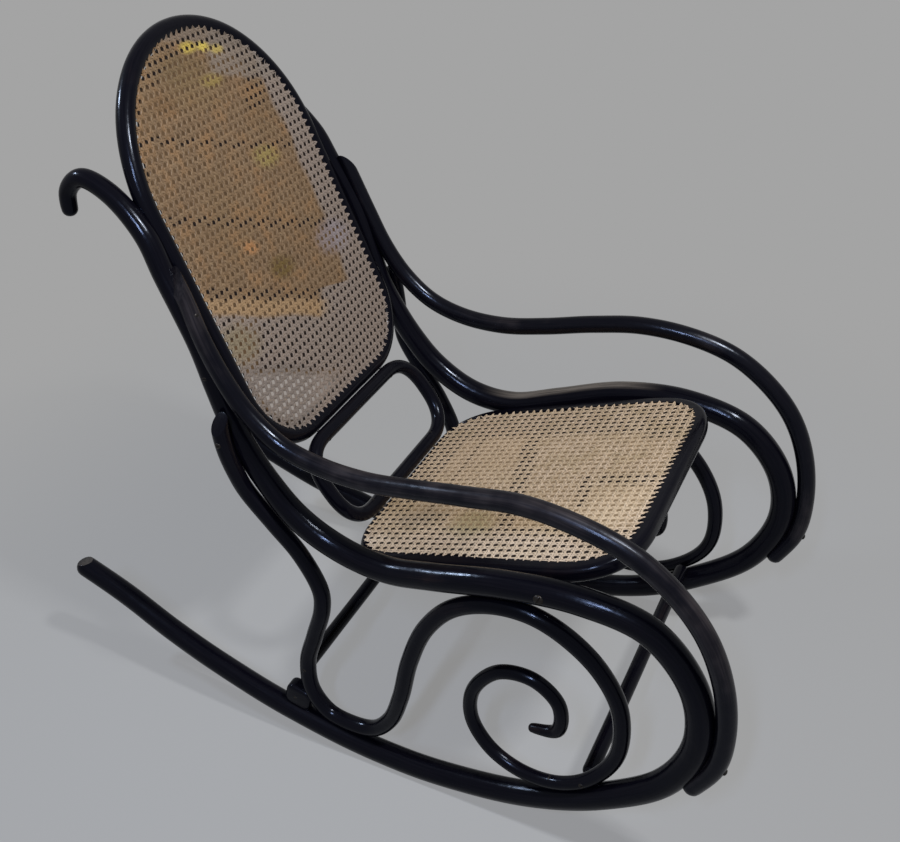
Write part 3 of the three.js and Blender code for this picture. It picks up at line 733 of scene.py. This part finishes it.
def seat_hole_painted_shade(n):
    """Painted shade in the seat's holes: where they are painted dark, as the shade below the seat.
    """
    across, forward = seat_lines(n)
    depth = n.parts(n.attribute("straightened"))[0]
    leaning = n.plus(forward, n.times(across, 0.21))
    # Painted shade: the holes in these zones, and those next to the frame, are dark.
    dark = n.most(
        n.ramp(across, 0.108, 0.118),
        n.ramp(forward, 0.05, 0.04),
        n.ramp(across, -0.124, -0.134),
        n.times(n.band(leaning, 0.173, 0.2), n.ramp(across, -0.14, -0.13)),
        n.times(n.band(leaning, 0.278, 0.296), n.band(across, -0.08, 0.0)),
        n.times(n.band(across, -0.028, 0.004), n.ramp(forward, 0.3, 0.31)),
        n.times(n.ramp(across, 0.09, 0.1), n.ramp(forward, 0.33, 0.34)),
        n.times(n.band(across, -0.14, -0.095), n.band(forward, 0.04, 0.115)),
        n.ramp(depth, 0.012, 0.008),
    )
    return ((n.times(dark, 0.95), DARK),)


def steel(name):
    """Darkened steel with browner, duller spots."""
    n = Nodes(name)
    tarnish = n.noise(n.here(), 420.0, 3.0, 0.6)
    scratches = n.noise(n.here(), 1500.0, 2.0)
    colour = n.mix(n.ramp(tarnish, 0.4, 0.65), opaque((0.03, 0.028, 0.026)),
                   opaque((0.022, 0.016, 0.012)))
    return n.finish(colour, n.ramp(tarnish, 0.3, 0.7, 0.3, 0.55), 0.5, Metallic=0.9,
                    Normal=n.bump(scratches, 0.25, 0.0001))


# Stains on the back and on the seat, with painted highlights among the back's spots: across, up or
# forward, radius, strength and colour.
BACK_SPOTS_AND_HIGHLIGHTS = (
    (-0.089, 0.158, 0.024, 0.95, (0.1, 0.06, 0.014)),
    (-0.219, 0.44, 0.042, 0.6, (0.11, 0.07, 0.028)),
    (-0.235, 0.385, 0.022, 0.55, (0.12, 0.062, 0.022)),
    (-0.2, 0.41, 0.045, 0.4, (0.16, 0.1, 0.04)),
    (-0.185, 0.425, 0.015, 0.6, (0.23, 0.16, 0.035)),
    (-0.115, 0.315, 0.024, 0.6, (0.24, 0.18, 0.045)),
    (-0.13, 0.185, 0.014, 0.7, (0.34, 0.15, 0.05)),
    # Painted highlights: three bright yellow spots near the top edge.
    (-0.215, 0.473, 0.013, 0.8, (0.42, 0.3, 0.05)),
    (-0.197, 0.476, 0.012, 0.9, (0.46, 0.34, 0.06)),
    (-0.18, 0.474, 0.011, 0.7, (0.38, 0.27, 0.05)),
    (-0.143, 0.05, 0.038, 0.6, (0.17, 0.13, 0.06)),
    (-0.02, 0.2, 0.034, 0.6, (0.2, 0.17, 0.18)),
)
SEAT_SPOTS = (
    (0.06, 0.09, 0.13, 0.6, (0.44, 0.31, 0.19)),
    (-0.125, 0.16, 0.05, 0.7, (0.27, 0.21, 0.1)),
    (-0.1, 0.075, 0.05, 0.55, (0.28, 0.21, 0.14)),
)
BROWN = (0.022, 0.012, 0.01)
LACQUER = lacquer("black_lacquer", BROWN, 0.58, 0.8)
# The arms' lacquer: its lighter, greyer patches are partly rubbed wear and partly painted sheen.
WORN_SHEEN_LACQUER = lacquer("worn_and_sheen_lacquer", (0.034, 0.027, 0.026), 0.46, 0.7,
                       gloss=0.17, sheen=(0.15, 0.25))
RUBBED_LACQUER = lacquer("rubbed_lacquer", BROWN, 0.58, 0.8, worn=bare_patches)
SEAT_CANE = cane("seat_straw", pale=(0.56, 0.42, 0.285), deep=(0.33, 0.23, 0.135),
                 worn=(0.44, 0.32, 0.19), zones=seat_stains)
BACK_CANE = cane("back_straw", pale=(0.2, 0.127, 0.066), deep=(0.12, 0.07, 0.034),
                 worn=(0.15, 0.09, 0.04), zones=back_stains_and_highlights)
# Painted shade for the films in the weave's holes.
BACK_SHADE = shade("back_painted_shade_film", (0.095, 0.056, 0.027), back_hole_painted_shade)
SEAT_SHADE = shade("seat_painted_shade_film", (0.23, 0.155, 0.085), seat_hole_painted_shade)
STEEL = steel("dark_steel")


def keep(piece, slot, nodes, *materials):
    """Dresses a piece, fixes it to the chair and hides the solids that it stands for."""
    if slot == "black_wood":
        stay_within(piece, nodes[0])
    for material in materials:
        piece.data.materials.append(material)
    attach(piece, "root")
    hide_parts(*nodes)
    return piece


# The side frames.
def side_rod(name, side, shares, radii, lumps, slanted_cut):
    """A rod of one side frame, with one end cut on a slant."""
    line = spline([side_place(share, side) for share in shares], ROD_STEP * MM)
    widths = np.interp([share for _, share in line], *zip(*radii)).tolist()
    rod = tube(name, [spot for spot, _ in line], widths, X_AXIS, lumps=lumps)
    point, (out, back, up) = slanted_cut
    cut(rod, side_place(point, side), Vector((side * out, back, up)).normalized())
    rest_on_ground(rod)
    return rod


SIDE_RODS = (
    ("rocker", "rocker_rod", RUBBED_LACQUER, (ROCKER_ROD, ROCKER_RADII, ROD_LUMPS, TAIL_CUT)),
    ("armrest", "arm", WORN_SHEEN_LACQUER, (ARM, ARM_RADII, BENT_LUMPS, ARM_TOP_CUT)),
    ("scroll", "scroll_rod", LACQUER, (SCROLL_ROD, SCROLL_RADII, BENT_LUMPS, SCROLL_TOP_CUT)),
)
for side, word in SIDES:
    for name, node, finish, form in SIDE_RODS:
        keep(side_rod(f"{name}_{word}", side, *form), "black_wood", [f"{node}_{word}"], finish)

# The stretchers.
for name, (back, height) in STRETCHERS.items():
    ends = [place(-STRETCHER_REACH, back, height), place(STRETCHER_REACH, back, height)]
    line = [ends[0].lerp(ends[1], k / STRETCHER_STEPS) for k in range(STRETCHER_STEPS + 1)]
    bar = tube(f"{name}_bar", line, [STRETCHER_RADIUS] * len(line), Vector((0, 1, 0)))
    keep(bar, "black_wood", [name], LACQUER)


# The hoop round the back, and the ring below it.
def closed_rod(name, outline, plane, lift, radius):
    """A closed rod that follows an outline on a leaning plane."""
    line = [plane.at(x, y, lift) for x, y in even(outline, ROD_STEP)]
    return tube(name, line, [radius] * len(line), plane.out, closed=True)


hoop = closed_rod("hoop", back_outline(HOOP_MARGIN), BACK_PLANE, HOOP_LIFT, HOOP_RADIUS)
keep(hoop, "black_wood", ["back_hoop"], LACQUER)
ring_outline = tapered_outline(RING_HALF, RING_HALF, 0, RING_HEIGHT, RING_CORNER, RING_CORNER)
ring = closed_rod("ring", ring_outline, RING_PLANE, 0, RING_RADIUS)
keep(ring, "black_wood", ["back_ring"], LACQUER)


# The seat frame: one section swept round the seat, from its inner edge to its rounded outer edge.
def seat_frame():
    inner = seat_outline(*[-RIM_INNER] * 4)
    pocket = seat_outline(*[RIM_POCKET] * 4)
    outer = seat_outline(*RIM_OUTER)
    thick, floor = RIM_THICK, POCKET_DEPTH
    verts, straightened, faces = [], [], []
    run = 0.0
    for i, ((ix, iy), (px, py), (ox, oy)) in enumerate(zip(inner, pocket, outer)):
        if i:
            run += math.dist(outer[i - 1], outer[i])
        way = Vector((ox - px, oy - py))
        room = way.length
        way.normalize()
        lip = Vector((px - ix, py - iy)).normalized()
        edge = min(RIM_EDGE, room * 0.9)
        # Up the inner side, over the pocket's floor and wall, round the outer edges and back.
        section = [(ix, iy, thick - RIM_CHAMFER), (ix, iy, floor + 1),
                   (ix + lip.x, iy + lip.y, floor),
                   (px - lip.x * 0.3, py - lip.y * 0.3, floor), (px, py, floor - 0.4),
                   (px, py, 0.5), (px + way.x * 0.5, py + way.y * 0.5, 0)]
        for turns, rear in ((QUARTER, False), (reversed(QUARTER), True)):
            for turn in turns:
                angle = math.radians(turn)
                reach = room - edge + edge * math.sin(angle)
                drop = edge * (1 - math.cos(angle))
                section.append((px + way.x * reach, py + way.y * reach,
                                thick - drop if rear else drop))
        section.append((ix + lip.x * RIM_CHAMFER, iy + lip.y * RIM_CHAMFER, thick))
        around = 0.0
        for k, (x, y, lift) in enumerate(section):
            if k:
                around += math.dist(section[k - 1], section[k])
            verts.append(SEAT_PLANE.at(x, y, lift))
            straightened.append((run * MM, around * MM, 4.2))
    size = len(section)
    count = len(inner)
    for i in range(count):
        faces += bridge(i * size, (i + 1) % count * size, size, flip=True)
    return face_outward(make_object("seat_rim", verts, faces, straightened))


keep(seat_frame(), "black_wood", ["seat_frame"], LACQUER)


# The blocks in the angle between leg and runner.
def leg_block(name, side):
    """A small block with rounded corners and edges, turned to lie along the runner."""
    out, back, up = BLOCK_MIDDLE
    middle = Vector((side * out, back, up))
    length, rise, width = BLOCK_SIZES
    tilt = Matrix.Rotation(math.radians(BLOCK_TILT), 3, "X")
    verts, straightened, faces = [], [], []
    for face, turns in ((-1, QUARTER), (1, reversed(QUARTER))):
        for turn in turns:
            angle = math.radians(turn)
            out = face * (width / 2 - BLOCK_EDGE + BLOCK_EDGE * math.cos(angle))
            inset = BLOCK_EDGE * (1 - math.sin(angle))
            half, corner = length / 2 - inset, BLOCK_CORNER - inset * 0.7
            outline = tapered_outline(half, half, -rise / 2 + inset, rise / 2 - inset,
                                      corner, corner, 8)
            for x, y in outline:
                verts.append((tilt @ Vector((out, x, y)) + middle + FRAME_SHIFT) * MM)
                straightened.append((x * MM, y * MM, out * MM + 6))
    size = len(outline)
    last = len(verts) - size
    for near in range(0, last, size):
        faces += bridge(near, near + size, size)
    return make_object(name, verts, faces + caps(last, size), straightened)


for side, word in SIDES:
    keep(leg_block(f"block_{word}", side), "black_wood", [f"leg_block_{word}"], LACQUER)


# The woven cane: pairs of strands both ways, laced over and under, and single diagonals.
class Weave:
    """Gathers strands and the film of painted shade between them, and makes one piece of them."""

    def __init__(self, to_space, outline, pitch, start, tooth, widths):
        self.to_space = to_space
        self.edge = np.array(outline)
        self.pitch = pitch
        self.start = start
        self.tooth = tooth
        self.pair_width, self.diagonal_width = widths
        self.verts, self.straightened, self.faces, self.indices = [], [], [], []
        self.strands = 0

    def reach(self, point, way):
        """Where a line enters and leaves the outline, as distances from a point on it."""
        start = self.edge - np.array(point)
        ahead = np.roll(start, -1, axis=0)
        side_a = start[:, 0] * way[1] - start[:, 1] * way[0]
        side_b = ahead[:, 0] * way[1] - ahead[:, 1] * way[0]
        crossing = (side_a > 0) != (side_b > 0)
        if crossing.sum() < 2:
            return None
        share = (side_a / (side_a - side_b + 1e-12))[crossing, None]
        spots = start[crossing] * (1 - share) + ahead[crossing] * share
        runs = spots @ np.array(way)
        return float(runs.min()), float(runs.max())

    def strand(self, point, way, stations, width, draw=0.0):
        """One strand along a line, through (distance, height) pairs. Draw pulls its ends aside."""
        found = self.reach(point, way)
        if found is None or found[1] - found[0] < MIN_STRAND:
            return
        short = 0.0 if draw else DIAGONAL_SHORT
        low = found[0] + random.uniform(-END_SPREAD, END_SPREAD) + short
        high = found[1] - random.uniform(-END_SPREAD, END_SPREAD) - short
        self.strands += 1
        runs = np.array([s for s, _ in stations])
        heights = np.array([h for _, h in stations])
        inner = (runs > low + TIP) & (runs < high - TIP)
        rows = [(low + TIP, float(np.interp(low + TIP, runs, heights)), 1, 0)]
        rows += [(s, h, 1, 0) for s, h in zip(runs[inner], heights[inner])]
        rows += [(high - TIP, float(np.interp(high - TIP, runs, heights)), 1, 0)]
        if draw:
            # The drawn ends climb onto the rim as teeth, each running into its hole there.
            climb, (reach, rise) = self.tooth
            reach *= random.uniform(0.75, 1.2)
            rows = [(low - reach, rise, 0.3, draw), (low, climb, 0.75, draw * 0.55), *rows,
                    (high, climb, 0.75, draw * 0.55), (high + reach, rise, 0.3, draw)]
        else:
            dip = -STRAND_THICK * 1.3
            rows = [(low, dip, 0.4, 0), *rows, (high, dip, 0.4, 0)]
        self.ribbon(point, way, rows, width * random.uniform(0.94, 1.04))

    def ribbon(self, point, way, rows, width):
        """A strand's mesh: rows hold its distance, height, share of the width and sideways pull."""
        side = (-way[1], way[0])
        drift = random.uniform(-STRAND_DRIFT, STRAND_DRIFT)
        first = len(self.verts)
        for run, height, share, pull in rows:
            half = width / 2 * share
            wander = drift * math.sin(run * 0.11 + self.strands) + pull
            x = point[0] + way[0] * run + side[0] * wander
            y = point[1] + way[1] * run + side[1] * wander
            for part, rise in STRAND_SECTION:
                across = half * part
                self.verts.append(self.to_space(x + side[0] * across, y + side[1] * across,
                                                height + rise * STRAND_THICK))
                self.straightened.append((run * MM, across * MM, self.strands * 0.73))
        size = len(STRAND_SECTION)
        last = len(self.verts) - size
        for ring in range(first, last, size):
            self.faces += bridge(ring, ring + size, size, flip=True)
        self.faces.append(tuple(range(first, first + size)))
        self.faces.append(tuple(reversed(range(last, last + size))))
        self.indices += [0] * ((last - first) + 2)

    def places(self, axis, beyond):
        """Where the pairs lie along an axis, with some more beyond the outline."""
        start, edge = self.start[axis], self.edge[:, axis]
        first = math.floor((edge.min() - start) / self.pitch) - beyond
        last = math.ceil((edge.max() - start) / self.pitch) + beyond
        return [start + i * self.pitch for i in range(first, last + 1)]

    def pairs(self, upright):
        """Pairs of strands one way, laced over one strand and under the next of the other way."""
        axis, other = (0, 1) if upright else (1, 0)
        way = (0.0, 1.0) if upright else (1.0, 0.0)
        for middle in self.places(axis, 0):
            for half in (-1, 1):
                spot = [0.0, 0.0]
                spot[axis] = middle + half * PAIR_OFFSET
                # Sideways is a quarter turn from a strand's way, so the two ways differ in sign.
                sign = half if upright else -half
                stations = []
                for at in self.places(other, 1):
                    stations += [(at - PAIR_OFFSET, sign * LACE), (at + PAIR_OFFSET, -sign * LACE),
                                 (at + self.pitch / 2, 0.0)]
                self.strand(spot, way, stations, self.pair_width, sign * PAIR_OFFSET * 0.8)

    def diagonals(self, slope):
        """Single diagonals that pass under the strands of one way and over those of the other."""
        pitch = self.pitch
        reach = float(np.hypot(*np.ptp(self.edge, axis=0)))
        flat = math.sqrt(0.5)
        way = (flat, flat * slope)
        rank = math.ceil(reach * 1.5 / pitch)
        for k in range(-rank, rank + 1):
            offset = (k + 0.5) * pitch
            spot = (self.start[0], self.start[1] + offset)
            stations = []
            for i in range(-rank, rank + 1):
                on_upright = i * pitch / flat
                on_level = (i + 0.5) * pitch / flat
                rise = DIAGONAL_RISE * slope
                stations += [(on_upright - FLAT_RUN, rise), (on_upright + FLAT_RUN, rise),
                             (on_level - FLAT_RUN, -rise), (on_level + FLAT_RUN, -rise)]
            self.strand(spot, way, stations, self.diagonal_width)

    def film(self, outline_at):
        """The film of painted shade in the weave's middle plane, filling the holes, as loops from
        its edge inward.
        """
        size = len(outline_at(0))
        firsts = []
        for half in (1, -1):
            firsts.append(len(self.verts))
            for depth in FILM_DEPTHS:
                for x, y in outline_at(-depth):
                    self.verts.append(self.to_space(x, y, half * FILM_THICK / 2))
                    self.straightened.append((depth * MM, x * MM, y * MM))
            last = len(self.verts) - size
            for near in range(firsts[-1], last, size):
                self.faces += bridge(near, near + size, size, flip=half < 0)
            centre = tuple(range(last, last + size))
            self.faces.append(centre if half > 0 else centre[::-1])
        self.faces += bridge(*firsts, size, flip=True)
        self.indices += [1] * (len(self.faces) - len(self.indices))

    def piece(self, name):
        return face_outward(make_object(name, self.verts, self.faces, self.straightened,
                                        WEAVE_SHARP_ANGLE, self.indices))


def weave(name, to_space, outline_at, **settings):
    made = Weave(to_space, even(outline_at(0), OUTLINE_STEP), **settings)
    made.pairs(True)
    made.pairs(False)
    made.diagonals(1)
    made.diagonals(-1)
    made.film(outline_at)
    return made.piece(name)


# A tooth is a height at the outline, and a reach and height on the rim beyond it.
back_weave = weave("back_weave", lambda x, y, lift: BACK_PLANE.at(x, y, lift - MIDDLE),
                   back_outline, pitch=12.0, start=(0, 5.2), tooth=(1.35, (1.9, 2.3)),
                   widths=(3.2, 3.05))
keep(back_weave, "back_cane", ["back_cane"], BACK_CANE, BACK_SHADE)
seat_weave = weave("seat_weave", lambda x, y, lift: SEAT_PLANE.at(x, y, MIDDLE - lift),
                   lambda margin: seat_outline(*[margin] * 4), pitch=11.8, start=(0, 0),
                   tooth=(1.3, (2.8, 1.45)), widths=(2.7, 2.35))
keep(seat_weave, "seat_cane", ["seat_cane"], SEAT_CANE, SEAT_SHADE)


# Screws. The head's sizes are shares of its radius, and angles are in degrees.
SCREW_SIDES = 24
SCREW_SHARP_ANGLE = 35
SHANK_CLEAR = 4 * MM
HEAD_SHARE = 0.99
HEAD_DEPTH = 0.8
HEAD_BRIM = 0.08
HEAD_DOME = 0.6
HEAD_TURNS = (11.25, 22.5, 33.75, 45, 56.25, 67.5, 78.75)
SLOT_HALF = 0.13
SLOT_ABOVE = 0.16
SLOT_FLOOR = 0.3


def screw(name, node):
    """A domed, slotted head on a shank, along the axis of the solid screw."""
    corners = np.array([v.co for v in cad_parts[node].data.vertices])
    middle = corners.mean(axis=0)
    axis = np.linalg.svd(corners - middle)[2][0]
    runs = (corners - middle) @ axis
    spread = np.linalg.norm(corners - middle - np.outer(runs, axis), axis=1)
    if runs[spread.argmax()] < 0:
        axis, runs = -axis, -runs
    head = spread.max() * HEAD_SHARE
    seat = runs.max() - head * HEAD_DEPTH
    shank = min(spread[runs < seat - SHANK_CLEAR].max(), head * 0.5)
    bottom = runs.min()
    brim = seat + head * HEAD_BRIM
    profile = [(shank, bottom), (shank, seat), (head * 0.96, seat), (head, brim)]
    profile += [(head * math.cos(a), brim + head * HEAD_DOME * math.sin(a))
                for a in (math.radians(turn) for turn in HEAD_TURNS)]
    bm = bmesh.new()
    angles = [2 * math.pi * k / SCREW_SIDES for k in range(SCREW_SIDES)]
    rings = [[bm.verts.new((radius * math.cos(a), radius * math.sin(a), height)) for a in angles]
             for radius, height in profile]
    for near, far in zip(rings, rings[1:]):
        for k in range(SCREW_SIDES):
            j = (k + 1) % SCREW_SIDES
            bm.faces.new((near[k], near[j], far[j], far[k]))
    bm.faces.new(rings[0][::-1])
    bm.faces.new(rings[-1])
    # The slot: two cuts across the head, and the strip between them pressed down.
    slot = head * SLOT_HALF
    for way in (-1, 1):
        geom = [*bm.verts, *bm.edges, *bm.faces]
        bmesh.ops.bisect_plane(bm, geom=geom, plane_co=(way * slot, 0, 0), plane_no=(way, 0, 0))
    trench = [f for f in bm.faces if abs(f.calc_center_median().x) < slot and
              f.calc_center_median().z > seat + head * SLOT_ABOVE]
    grown = bmesh.ops.extrude_face_region(bm, geom=trench)
    for vertex in (v for v in grown["geom"] if isinstance(v, bmesh.types.BMVert)):
        vertex.co.z = min(vertex.co.z, seat + head * SLOT_FLOOR)
    bmesh.ops.delete(bm, geom=trench, context="FACES_ONLY")
    bmesh.ops.recalc_face_normals(bm, faces=bm.faces)
    mesh = bpy.data.meshes.new(name)
    bm.to_mesh(mesh)
    bm.free()
    turn = Vector((0, 0, 1)).rotation_difference(Vector(axis)).to_matrix()
    spin = Matrix.Rotation(random.uniform(0, math.pi), 3, "Z")
    for vertex in mesh.vertices:
        vertex.co = turn @ (spin @ vertex.co) + Vector(middle)
    smooth(mesh, SCREW_SHARP_ANGLE)
    keep(add_to_scene(name, mesh), "screw_steel", [node], STEEL)


for node in sorted(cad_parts):
    if "screw" in node or "bolt" in node:
        screw(f"{node}_head", node)


# The floor, the light and the camera.
BACKGROUND = opaque((0.371, 0.371, 0.371))
FLOOR_PAINT = opaque((0.34, 0.34, 0.34))
SURROUND = opaque((0.03, 0.031, 0.038))
FLOOR_HALF = 20.0
# The floor shows its paint and the shadows near the chair, and more and more plain background.
FLOOR_NEAR, FLOOR_FAR, NEAR_SHARE = 0.5, 1.6, 0.72


def seen_rays(n):
    """One for the rays that show the background: straight ones, and those off metal or glass."""
    path = n.add("ShaderNodeLightPath").outputs
    return n.most(*(path[f"Is {ray} Ray"] for ray in ("Camera", "Glossy", "Transmission")))


def background():
    """A plain floor that shows the chair's shadow and runs into the background."""
    n = Nodes("floor_paint")
    glow = n.add("ShaderNodeEmission", {"Color": BACKGROUND, "Strength": 1.0})
    distance = n.add("ShaderNodeVectorMath", {0: n.here()}, operation="LENGTH").outputs["Value"]
    share = n.times(seen_rays(n), n.ramp(distance, FLOOR_NEAR, FLOOR_FAR, NEAR_SHARE, 1.0))
    blend = n.add("ShaderNodeMixShader", {0: share, 1: n.shader.outputs[0], 2: glow.outputs[0]})
    n.put(n.surface, blend.outputs[0])
    return n.finish(FLOOR_PAINT, 0.9, 0.1)


floor_mesh = bpy.data.meshes.new("floor")
corners = ((-1, -1), (1, -1), (1, 1), (-1, 1))
floor_mesh.from_pydata([(x * FLOOR_HALF, y * FLOOR_HALF, 0) for x, y in corners], [],
                       [(0, 1, 2, 3)])
floor_mesh.materials.append(background())
floor = add_to_scene("floor", floor_mesh)

world = bpy.data.worlds.new("studio")
bpy.context.scene.world = world
world.use_nodes = True
n = Nodes.of_tree(world.node_tree)
surround = n.add("ShaderNodeBackground", {"Color": SURROUND})
plain = n.add("ShaderNodeBackground", {"Color": BACKGROUND})
blend = n.add("ShaderNodeMixShader", {0: seen_rays(n), 1: surround.outputs[0], 2: plain.outputs[0]})
n.add("ShaderNodeOutputWorld", {"Surface": blend.outputs[0]})


def lamp(name, spot, aim, size, power, colour):
    light = add_to_scene(name, bpy.data.lights.new(name, "AREA"), shape="RECTANGLE",
                         size=size[0], size_y=size[1], energy=power, color=colour)
    light.location = spot
    light.rotation_euler = (Vector(aim) - Vector(spot)).to_track_quat("-Z", "Y").to_euler()


lamp("key", spot=(-0.45, -1.25, 2.75), aim=(0, 0, 0.4), size=(0.24, 0.24), power=76,
     colour=(0.96, 0.98, 1.0))
lamp("side", spot=(-2.1, -0.5, 2.3), aim=(0, 0, 0.4), size=(0.1, 0.36), power=46,
     colour=(0.55, 0.68, 1.0))
lamp("rear", spot=(-0.6, 2.3, 2.3), aim=(0, 0, 0.5), size=(0.22, 0.15), power=48,
     colour=(0.7, 0.82, 1.0))

# The camera, as fitted to the chair: the ways to its right, up and back, and its place.
CAMERA_AXES = ((0.4729, -0.8799, -0.0472), (0.49, 0.218, 0.844), (-0.7323, -0.4222, 0.5343))
CAMERA_SPOT = (-1.2846, -0.61734, 1.35847)
camera = add_to_scene("camera", bpy.data.cameras.new("camera"), sensor_width=36, lens=46.27,
                      shift_x=0.1095, clip_end=100)
camera.matrix_world = Matrix((*zip(*CAMERA_AXES, CAMERA_SPOT), (0, 0, 0, 1)))
bpy.context.scene.camera = camera
bpy.context.scene.view_settings.view_transform = "Standard"
